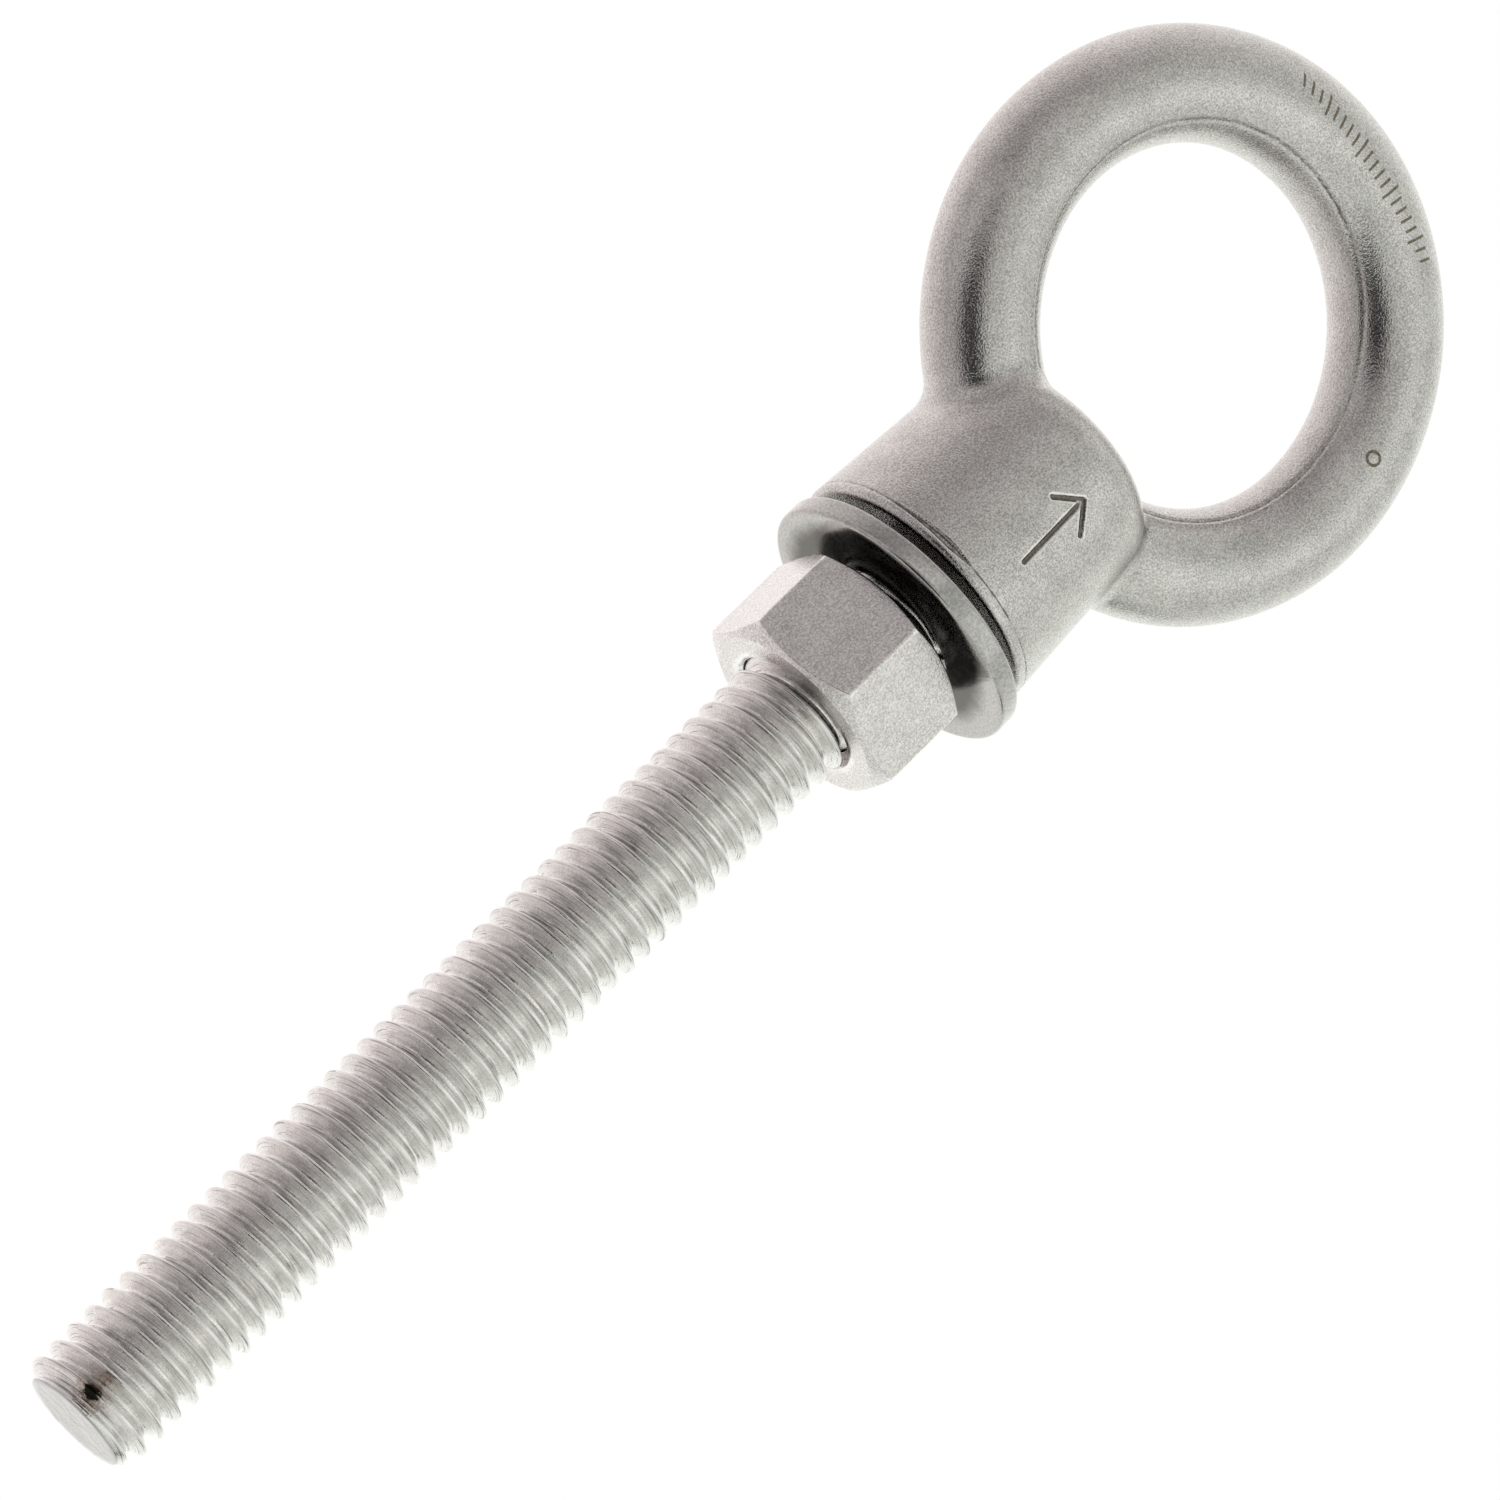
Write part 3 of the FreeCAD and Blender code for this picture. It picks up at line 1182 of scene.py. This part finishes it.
@dataclass
class Piece:
    """What every piece of the model shares.

    Attributes:
        name: Name of the object.
        body: Body that it rides on.
        slot: Material slot of the record that matches its finish; not used.
        node: CAD node that it stands for, if any.
        finish: Its finish.
    """

    name: str
    body: Body
    slot: Slot
    node: Optional[str]
    finish: Steel

    def shape(self) -> Shape:
        """Return the piece's points in millimetres and its faces."""
        raise NotImplementedError

    def build(self, effects: SharedEffects) -> bpy.types.Object:
        """Make the piece, dress it and attach it to its body.

        Args:
            effects: The shared node groups.

        Returns:
            The finished object.
        """
        piece = make_piece(self.name, self.shape())
        piece.data.materials.append(self.finish.material(effects))
        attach(piece, self.body.value)
        if self.node:
            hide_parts(self.node)
        LOG.info("%s: %d points, %d faces", piece.name, len(piece.data.vertices), len(piece.data.polygons))
        return piece


@dataclass
class Head(Piece):
    """The ring and the drafted boss, one casting.

    Attributes:
        ring_radius: Radius of the ring's centre line.
        tube_radius: Radius of its round section.
        eye_height: Height of the ring's centre.
        seat_radius: Radius of the boss at its seat.
        draft: Slope of the boss's wall.
        height: Height of the boss.
        top_rounding: Rounding of the boss's top edge.
        seat_rounding: Mean rounding of its seat's edge.
        seat_swing: How much rounder than that the edge is on its worn side.
        worn_side: Direction of that side.
        blend_radius: Radius of the fillet between the ring and the boss.
        lip_height: Height of the groove over the seat's lip.
        lip_depth: Depth of the groove, which each place has its own share of.
        crease_angle: Mean place of the creases round the ring's section, from its inner side.
        crease_swing: How far they wander from there.
        crease_depth: Their depth.
        crease_width: Their half width.
        wave_depth: Depth of the ring's waviness.
        arrow_middle: Height of the arrow's middle.
        arrow_length: Length of the arrow.
        barb_length: Length of each barb.
        stroke_reach: Radius of the strokes' round bottoms.
        cut_edge: Rounding of the edges of the strokes and the groove.
    """

    ring_radius: float = 16.865
    tube_radius: float = 4.165
    eye_height: float = 29.0
    seat_radius: float = 9.75
    draft: float = math.radians(3.5)
    height: float = 16.0
    top_rounding: float = 3.0
    seat_rounding: float = 0.35
    seat_swing: float = 0.7
    worn_side: float = math.radians(215)
    blend_radius: float = 1.1
    lip_height: float = 0.85
    lip_depth: float = 0.15
    crease_angle: float = math.radians(44)
    crease_swing: float = math.radians(13)
    crease_depth: float = 0.08
    crease_width: float = 0.13
    wave_depth: float = 0.05
    arrow_middle: float = 7.4
    arrow_length: float = 6.4
    barb_length: float = 2.4
    stroke_reach: float = 0.21
    cut_edge: Tuple[float, float] = (0.06, 0.10)

    LIP_ANGLES = (0, 195, 212, 244, 256, 360)
    LIP_SHARES = (0.2, 0.25, 0.6, 1.8, 0.25, 0.2)

    def shape(self) -> Shape:
        """Mesh the casting, finely at its lip and its arrow.

        Returns:
            Its points and its faces.
        """
        reach = self.ring_radius + self.tube_radius + 0.3
        side = self.seat_radius + 0.3
        across = graded_axis([(-reach, -2.0, 0.2), (-2.0, 2.0, 0.1), (2.0, reach, 0.2)])
        deep = graded_axis([(-side, side, 0.2)])
        lip, arrow = [(-0.21, 1.47, 0.07), (1.47, 4.1, 0.15)], (4.1, 11.1, 0.1)
        up = graded_axis([*lip, arrow, (11.1, self.eye_height + reach, 0.2)])
        return SurfaceNet(self.distance, (across, deep, up)).build()

    def distance(self, points: np.ndarray) -> np.ndarray:
        """Measure how far points are from the casting's surface.

        Args:
            points: The points.

        Returns:
            One signed distance for each, negative inside.
        """
        wall, boss = self._boss(points)
        solid = round_union(boss, self._ring(points), self.blend_radius)
        groove = np.hypot(np.clip(self._arrow(points), 0, None), wall) - self.stroke_reach
        return round_cross(solid, -np.where(points[:, 1] < 0, groove, 1.0), self.cut_edge[0])

    def _ring(self, points: np.ndarray) -> np.ndarray:
        """Measure the distance to the ring, with its shallow creases and waviness.

        Args:
            points: The points.

        Returns:
            One distance for each.
        """
        x, y, z = points.T
        rise = z - self.eye_height
        reach = np.hypot(x, rise) - self.ring_radius
        around = np.arctan2(x, rise)
        lean = np.arctan2(np.abs(y), -reach)
        middle = self.crease_angle + self.crease_swing * np.cos(around + 1.9)
        bend = (lean - middle) * self.tube_radius
        crease = self.crease_depth * np.exp(-((bend / self.crease_width) ** 2))
        slow = np.sin(3 * around + 1.3 * np.sin(2 * lean))
        quick = np.sin(7 * around + 2.0 * lean)
        waves = 0.5 + 0.25 * slow + 0.25 * quick
        return np.hypot(reach, y) - self.tube_radius + crease + self.wave_depth * waves

    def _boss(self, points: np.ndarray) -> Tuple[np.ndarray, np.ndarray]:
        """Measure the distances to the boss.

        Args:
            points: The points.

        Returns:
            The distances to the boss's wall alone and to the whole boss.
        """
        x, y, z = points.T
        radius = np.hypot(x, y)
        angle = np.arctan2(y, x)
        slope = math.tan(self.draft)
        wall = (radius - (self.seat_radius - slope * z)) * math.cos(self.draft)
        boss = round_cross(wall, z - self.height, self.top_rounding)
        seat_edge = self.seat_rounding * (1 + self.seat_swing * np.cos(angle - self.worn_side))
        boss = round_cross(boss, -z, seat_edge)
        lip_radius = self.seat_radius - slope * self.lip_height
        depth = self.lip_depth * np.interp(np.degrees(angle) % 360, self.LIP_ANGLES, self.LIP_SHARES)
        groove = np.hypot(radius - lip_radius, z - self.lip_height) - depth
        return wall, round_cross(boss, -groove, self.cut_edge[1])

    def _arrow(self, points: np.ndarray) -> np.ndarray:
        """Measure the distance to the strokes of the arrow that points to the eye.

        Args:
            points: The points.

        Returns:
            One distance for each, as seen from the front.
        """
        x, _, z = points.T
        tip = self.arrow_middle + self.arrow_length / 2
        low = self.arrow_middle - self.arrow_length / 2
        stem = np.hypot(x, z - np.clip(z, low, tip))
        along = np.clip((np.abs(x) + (tip - z)) / math.sqrt(2), 0, self.barb_length) / math.sqrt(2)
        barb = np.hypot(np.abs(x) - along, z - (tip - along))
        return np.minimum(stem, barb)


@dataclass(frozen=True)
class Thread:
    """A screw thread's section, the same along its helix.

    SAMPLES are the places of its rows, as shares of the pitch from one crest's middle to the next. SHARP
    is the width over which the corners at the crest are eased, and SOFT that at the root.

    Attributes:
        crest: Radius at the middle of the crest's flat.
        root: Radius at the middle of the root's flat.
        crest_width: Width of the flat at the crest.
        root_width: Width of the flat at the root.
    """

    crest: float
    root: float
    crest_width: float
    root_width: float

    CREST = (-0.10, -0.078, -0.056, -0.02, 0.02, 0.056, 0.078, 0.10)
    FLANK, ROOT, RISE = np.linspace(0.15, 0.33, 4), np.linspace(0.38, 0.62, 9), np.linspace(0.67, 0.85, 4)
    SAMPLES = np.concatenate([CREST, FLANK, ROOT, RISE])
    SHARP, SOFT = 0.10, 0.22

    def radius(self, angle: np.ndarray, height: np.ndarray) -> np.ndarray:
        """Work out the thread's radius, easing its crests and roots.

        Args:
            angle: Angles about the axis.
            height: Heights.

        Returns:
            One radius for each place.
        """
        turns = (height - CREST_HEIGHT_AT_X) / PITCH - angle / (2 * math.pi)
        offset = np.abs(turns - np.round(turns)) * PITCH
        run = (PITCH - self.crest_width - self.root_width) / 2
        flank = self.crest + (self.root - self.crest) * (offset - self.crest_width / 2) / run
        return smooth_min(smooth_max(flank, self.root, self.SOFT), self.crest, self.SHARP)

    def heights(self, angles: np.ndarray, bottom: float, top: float) -> np.ndarray:
        """Return rows that follow the helix, held between two end planes.

        Args:
            angles: Angle of each column.
            bottom: Lower end plane.
            top: Upper end plane.

        Returns:
            Heights by column and row, where rows past an end lie on it.
        """
        first = math.floor((bottom - CREST_HEIGHT_AT_X) / PITCH) - 2
        last = math.ceil((top - CREST_HEIGHT_AT_X) / PITCH) + 1
        rows = (np.arange(first, last)[:, None] + self.SAMPLES).ravel() * PITCH + CREST_HEIGHT_AT_X
        return np.clip(rows[None, :] + angles[:, None] * PITCH / (2 * math.pi), bottom, top)


@dataclass
class Shank(Piece):
    """The fully threaded shank with its chamfered, sawn end, in millimetres.

    Attributes:
        length: Length below the seat.
        into_boss: How far it runs into the boss.
        end_radius: Radius of the flat end inside its chamfer.
        chamfer_easing: Width over which the thread runs out into the chamfer.
        columns: Columns of faces about the axis.
        thread: Its thread.
    """

    length: float = 80.8
    into_boss: float = 1.0
    end_radius: float = 3.75
    chamfer_easing: float = 0.06
    columns: int = 120
    thread: Thread = Thread(4.70, 3.75, PITCH / 8, 0.30)

    def shape(self) -> Shape:
        """Mesh the thread as one sheet, and its two ends.

        Returns:
            The points and the faces.
        """
        angles = np.linspace(0, 2 * math.pi, self.columns + 1)
        heights = self.thread.heights(angles, -self.length, self.into_boss)
        radii = self.thread.radius(angles[:, None], heights)
        radii = smooth_min(radii, self.end_radius + heights + self.length, self.chamfer_easing)
        sheets = Sheets()
        sheets.add(ring_points(angles, radii, heights))
        shares = np.linspace(0, 1, 9)
        for rim, steps, height in (
            (radii[:, :1], shares, -self.length),
            (radii[:, -1:], shares[::-1], self.into_boss),
        ):
            sheets.add(ring_points(angles, rim * steps, np.full((len(angles), len(steps)), height)))
        return sheets.joined()


@dataclass
class HexNut(Piece):
    """The double-chamfered hex nut with its threaded bore.

    Attributes:
        across_flats: Width across its flats.
        top: Height of its upper face.
        bottom: Height of its lower face.
        corner_angle: Angle of one corner from +X.
        corner_rounding: Radius of its upright edges.
        chamfer: Slope of the chamfer cone.
        face_radius: Radius of the flat faces inside the chamfers.
        sink_radius: Radius of the countersinks' mouths.
        edge_rounding: Radius of the other edges.
        thread: Its thread, a clearance outside the shank's.
    """

    across_flats: float = 14.2875
    top: float = -3.65
    bottom: float = -11.984
    corner_angle: float = math.radians(20)
    corner_rounding: float = 0.30
    chamfer: float = math.radians(30)
    face_radius: float = 6.80
    sink_radius: float = 5.05
    edge_rounding: float = 0.10
    thread: Thread = Thread(4.80, 4.05, PITCH / 8 + 0.2, 0.40)

    def shape(self) -> Shape:
        """Mesh the outside and the bore as two sheets.

        Returns:
            The points and the faces.
        """
        angles = self._angles()
        sheets = Sheets()
        sheets.add(self._outside(angles))
        sheets.add(self._inside(angles))
        return sheets.joined()

    def _angles(self) -> np.ndarray:
        """Space the columns over one turn, close together at the corners.

        Returns:
            Their angles.
        """
        corner, flat = np.linspace(-1.2, 1.2, 9), np.linspace(1.6, 58.4, 20)
        side = np.concatenate([corner, flat])
        angles = np.concatenate([side + 60 * number for number in range(6)] + [[360 + corner[0]]])
        return np.radians(angles) + self.corner_angle

    def _half_width(self, angles: np.ndarray) -> np.ndarray:
        """Work out the hexagon's radius with its corners rounded.

        Args:
            angles: Angle of each column.

        Returns:
            One radius for each column.
        """
        from_corner = np.abs((angles - self.corner_angle + math.pi / 6) % (math.pi / 3) - math.pi / 6)
        apothem = self.across_flats / 2
        flat = apothem / np.cos(math.pi / 6 - from_corner)
        centre = (apothem - self.corner_rounding) / math.cos(math.pi / 6)
        inside = np.clip(self.corner_rounding**2 - (centre * np.sin(from_corner)) ** 2, 0, None)
        arc = centre * np.cos(from_corner) + np.sqrt(inside)
        arc_end = math.pi / 6 - math.atan2(centre * math.sin(math.pi / 6), apothem)
        return np.where(from_corner < arc_end, arc, flat)

    def _outside(self, angles: np.ndarray) -> np.ndarray:
        """Lay the faces, chamfers and flats as one sheet from bore to bore.

        Args:
            angles: Angle of each column.

        Returns:
            The sheet's points.
        """
        reach = self._half_width(angles)
        rise = (reach - self.face_radius) * math.tan(self.chamfer)
        sink, face = np.full_like(reach, self.sink_radius), np.full_like(reach, self.face_radius)
        radii = np.stack([sink, face, reach, reach, face, sink], 1)
        low, high = np.full_like(reach, self.bottom), np.full_like(reach, self.top)
        heights = np.stack([low, low, low + rise, high - rise, high, high], 1)
        rounding = [0, *[self.edge_rounding] * 4, 0]
        profile = subdivided(rounded_profile(np.stack([radii, heights], -1), rounding, 5), 0.5)
        return ring_points(angles, profile[..., 0], profile[..., 1])

    def _inside(self, angles: np.ndarray) -> np.ndarray:
        """Lay the threaded bore and its countersinks as one sheet from top to bottom.

        Args:
            angles: Angle of each column.

        Returns:
            The sheet's points.
        """
        heights = self.thread.heights(angles, self.bottom, self.top)[:, ::-1]
        depth = np.minimum(self.top - heights, heights - self.bottom)
        radii = smooth_max(self.thread.radius(angles[:, None], heights), self.sink_radius - depth, 0.08)
        return ring_points(angles, np.where(depth < 1e-6, self.sink_radius, radii), heights)


@dataclass
class Washer(Piece):
    """The flat washer, hanging a little off the shank's axis.

    Attributes:
        outer: Outer radius.
        bore: Radius of the hole.
        thickness: Thickness.
        top: Height of its upper face.
        shift: How far its centre is from the shank's axis.
        rim_rounding: Rounding of its outer edges.
        bore_rounding: Rounding of the hole's edges.
        columns: Columns of faces about its axis.
    """

    outer: float = 10.318
    bore: float = 5.16
    thickness: float = 1.65
    top: float = -0.95
    shift: float = 0.36
    rim_rounding: float = 0.35
    bore_rounding: float = 0.14
    columns: int = 240

    def shape(self) -> Shape:
        """Mesh the washer as one sheet that closes inside the hole.

        Returns:
            The points and the faces.
        """
        angles = np.linspace(0, 2 * math.pi, self.columns + 1)
        bottom = self.top - self.thickness
        middle = (self.top + bottom) / 2
        bore, outer, top = self.bore, self.outer, self.top
        outline = [(bore, middle), (bore, bottom), (outer, bottom), (outer, top), (bore, top), (bore, middle)]
        corners = np.broadcast_to(np.array(outline), (len(angles), len(outline), 2))
        radii = [0, self.bore_rounding, self.rim_rounding, self.rim_rounding, self.bore_rounding, 0]
        profile = subdivided(rounded_profile(corners, radii, 8), 0.35)
        points = ring_points(angles, profile[..., 0], profile[..., 1])
        points[..., 0] += self.shift
        sheets = Sheets()
        sheets.add(points)
        return sheets.joined()


# ---------------------------------------------------------------------------
# stage
# ---------------------------------------------------------------------------


@dataclass(frozen=True)
class SkyPatch:
    """A soft-edged rectangle on the sky, placed by how far a direction points right and up.

    Attributes:
        centre: Its middle.
        half: Half of its width and height.
        lean: Its turn in degrees.
        change: The light that it adds or, for a dark patch, the share of light that it takes away,
            below zero.
    """

    centre: Tuple[float, float]
    half: Tuple[float, float]
    lean: float
    change: float

    def drawn(self, graph: Graph, side: Socket, lift: Socket, edge: float = 0.04) -> Socket:
        """Draw the patch.

        Args:
            graph: Graph of the world.
            side: How far a direction points to the right.
            lift: How far it points up.
            edge: Half width of the soft edge.

        Returns:
            One inside the rectangle and zero outside.
        """
        cosine, sine = math.cos(math.radians(self.lean)), math.sin(math.radians(self.lean))
        across, above = graph.minus(side, self.centre[0]), graph.minus(lift, self.centre[1])
        along = graph.plus(graph.times(across, cosine), graph.times(above, sine))
        over = graph.minus(graph.times(above, cosine), graph.times(across, sine))
        shares = (
            graph.spread(graph.math("ABSOLUTE", offset), size - edge, size + edge, 1, 0)
            for offset, size in zip((along, over), self.half)
        )
        return graph.times(*shares)


@dataclass
class Studio:
    """Floor, light and camera. The sky is laid out once, along the axes of the camera's first view.

    Attributes:
        floor_height: Height of the floor in metres.
        floor_size: Side of the floor in metres.
        place: Camera position in metres.
        right_way: Camera's right-hand direction.
        up_way: Camera's upward direction.
        lens: Focal length in millimetres on a 36 mm sensor.
        levels: Brightness of the sky, from straight behind the object to straight before it.
        slope: How much brighter its lower right is than its upper left.
        opening: The dark opening before the object.
        strip: The bright strip before it.
        skirting: The dark strip low behind it.
        boxes: Name, place to the right, up and back, side and power of each soft box.
    """

    floor_height: float = -0.30
    floor_size: float = 6.0
    place: Triple = (-0.15916, -0.37992, -0.16380)
    right_way: Triple = (0.55484, -0.49265, 0.67040)
    up_way: Triple = (-0.74855, 0.05606, 0.66071)
    lens: float = 156.0
    levels: Tuple[Tuple[float, float], ...] = (
        (0.0, 1.15), (0.12, 1.05), (0.19, 0.95), (0.31, 0.84), (0.5, 0.70), (0.7, 0.60), (1.0, 0.56)
    )
    slope: float = 0.29
    opening: SkyPatch = SkyPatch((-0.32, -0.12), (0.33, 0.41), 0, -0.90)
    strip: SkyPatch = SkyPatch((0.31, 0.56), (0.29, 0.06), -30, 0.30)
    skirting: SkyPatch = SkyPatch((0.02, -0.90), (0.20, 0.05), 8, -0.78)
    boxes: Tuple[Tuple[str, float, float, float, float, float], ...] = (
        ("Left soft box", -0.62, 0.48, 0.55, 0.6, 0.25),
        ("Right soft box", 0.75, -0.25, 0.35, 0.6, 0.2),
    )

    def build(self) -> None:
        """Set up everything round the object."""
        self._camera()
        self._world()
        self._floor()
        self._lamps()
        bpy.context.scene.view_settings.view_transform = "Standard"
        LOG.info("studio ready")

    @property
    def right(self) -> Vector:
        """Return the camera's right-hand direction."""
        return Vector(self.right_way).normalized()

    @property
    def up(self) -> Vector:
        """Return the camera's upward direction."""
        return Vector(self.up_way).normalized()

    @property
    def back(self) -> Vector:
        """Return the direction from the object to the camera."""
        return self.right.cross(self.up).normalized()

    def _camera(self) -> None:
        """Place the camera."""
        data = bpy.data.cameras.new("Camera")
        data.lens = self.lens
        data.sensor_width = 36.0
        data.clip_start = 0.01
        camera = bpy.data.objects.new("Camera", data)
        axes = Matrix((self.right, self.up, self.back)).transposed().to_4x4()
        camera.matrix_world = Matrix.Translation(self.place) @ axes
        bpy.context.scene.collection.objects.link(camera)
        bpy.context.scene.camera = camera

    def _world(self) -> None:
        """Surround the object with a white tent, seen as a plain white backdrop."""
        world = bpy.data.worlds.new("White tent")
        bpy.context.scene.world = world
        world.use_nodes = True
        world.node_tree.nodes.clear()
        graph = Graph(world.node_tree)
        way = graph.node("NodeTexCoord").outputs["Generated"]
        facing, side, lift = (graph.toward(way, axis) for axis in (self.back, self.right, self.up))
        strength = self._brightness(graph, facing, side, lift)
        sideways = graph.spread(graph.minus(graph.times(side, 0.7), graph.times(lift, 0.7)), -0.7, 0.5)
        warm = graph.blend(sideways, (1.0, 0.935, 0.93), (0.98, 1.0, 0.955))
        tent_light = graph.node("NodeBackground", Color=warm, Strength=strength)
        backdrop = graph.node("NodeBackground", Color=(1, 1, 1, 1), Strength=1.0)
        seen = graph.node("NodeLightPath").outputs["Is Camera Ray"]
        mixed = graph.node("NodeMixShader")
        for socket, value in zip(mixed.inputs, (seen, tent_light.outputs[0], backdrop.outputs[0])):
            graph.put(socket, value)
        graph.node("NodeOutputWorld", Surface=mixed.outputs[0])

    def _brightness(self, graph: Graph, facing: Socket, side: Socket, lift: Socket) -> Socket:
        """Work out the brightness of the tent.

        Args:
            graph: Graph of the world.
            facing: How far a direction points to the camera.
            side: How far it points to the right.
            lift: How far it points up.

        Returns:
            The brightness.
        """
        ramp = graph.node("NodeValToRGB", Fac=graph.scaled(facing, 0.5, 0.5))
        bar = ramp.color_ramp
        while len(bar.elements) < len(self.levels):
            bar.elements.new(0.5)
        for element, (spot, level) in zip(bar.elements, self.levels):
            element.position = spot
            element.color = (level, level, level, 1)
        lower_right = graph.minus(graph.times(side, 0.5), graph.times(lift, 0.87))
        sloping = graph.times(lower_right, graph.spread(facing, -0.2, 0.5))
        level = graph.scaled(sloping, self.slope, ramp.outputs[0])
        before, behind = graph.spread(facing, 0.1, 0.3), graph.spread(facing, -0.35, -0.15, 1, 0)
        opening = graph.times(self.opening.drawn(graph, side, lift), before)
        level = graph.times(level, graph.scaled(opening, self.opening.change, 1.0))
        strip = graph.times(self.strip.drawn(graph, side, lift), before)
        level = graph.scaled(strip, self.strip.change, level)
        skirting = graph.times(self.skirting.drawn(graph, side, lift), behind)
        return graph.times(level, graph.scaled(skirting, self.skirting.change, 1.0))

    def _floor(self) -> None:
        """Lay a plain pale floor under the object."""
        half = self.floor_size / 2
        steps = np.linspace(-half, half, 13) / MM
        across, deep = np.meshgrid(steps, steps, indexing="ij")
        sheets = Sheets()
        sheets.add(np.stack([across, deep, np.full_like(across, self.floor_height / MM)], -1))
        floor = make_piece("studio_floor", sheets.joined())
        material = bpy.data.materials.new("Pale floor")
        material.use_nodes = True
        material.node_tree.nodes.clear()
        graph = Graph(material.node_tree)
        place = graph.node("NodeTexCoord").outputs["Object"]
        colour = graph.blend(graph.noise(place, 3.0, 4), (0.84, 0.84, 0.83), (0.88, 0.88, 0.87))
        shader = graph.node("NodeBsdfPrincipled", Base_Color=colour, Roughness=0.7)
        graph.node("NodeOutputMaterial", Surface=shader.outputs[0])
        floor.data.materials.append(material)
        floor.visible_glossy = False

    def _lamps(self) -> None:
        """Hang soft boxes that give the form its highlights."""
        for name, side, lift, back, size, power in self.boxes:
            way = self.right * side + self.up * lift + self.back * back
            data = bpy.data.lights.new(name, "AREA")
            data.size = size
            data.energy = power
            lamp = bpy.data.objects.new(name, data)
            lamp.matrix_world = Matrix.Translation(way) @ way.to_track_quat("Z", "Y").to_matrix().to_4x4()
            bpy.context.scene.collection.objects.link(lamp)


def main() -> None:
    """Build the pieces in order, then the studio with its two soft boxes."""
    logging.basicConfig(level=logging.INFO, format="%(name)s: %(message)s")
    effects = SharedEffects()
    pieces = (
        Head("eye_and_boss", Body.EYE_BOLT, Slot.CAST, "eye_bolt", CAST_STEEL),
        Shank("threaded_shank", Body.EYE_BOLT, Slot.CAST, None, ROLLED_STEEL),
        Washer("flat_washer", Body.WASHER, Slot.WASHER, "washer", WASHER_STEEL),
        HexNut("hexagon_nut", Body.NUT, Slot.NUT, "hex_nut", NUT_STEEL),
    )
    for piece in pieces:
        piece.build(effects)
    Studio().build()


if __name__ == "__main__":
    main()
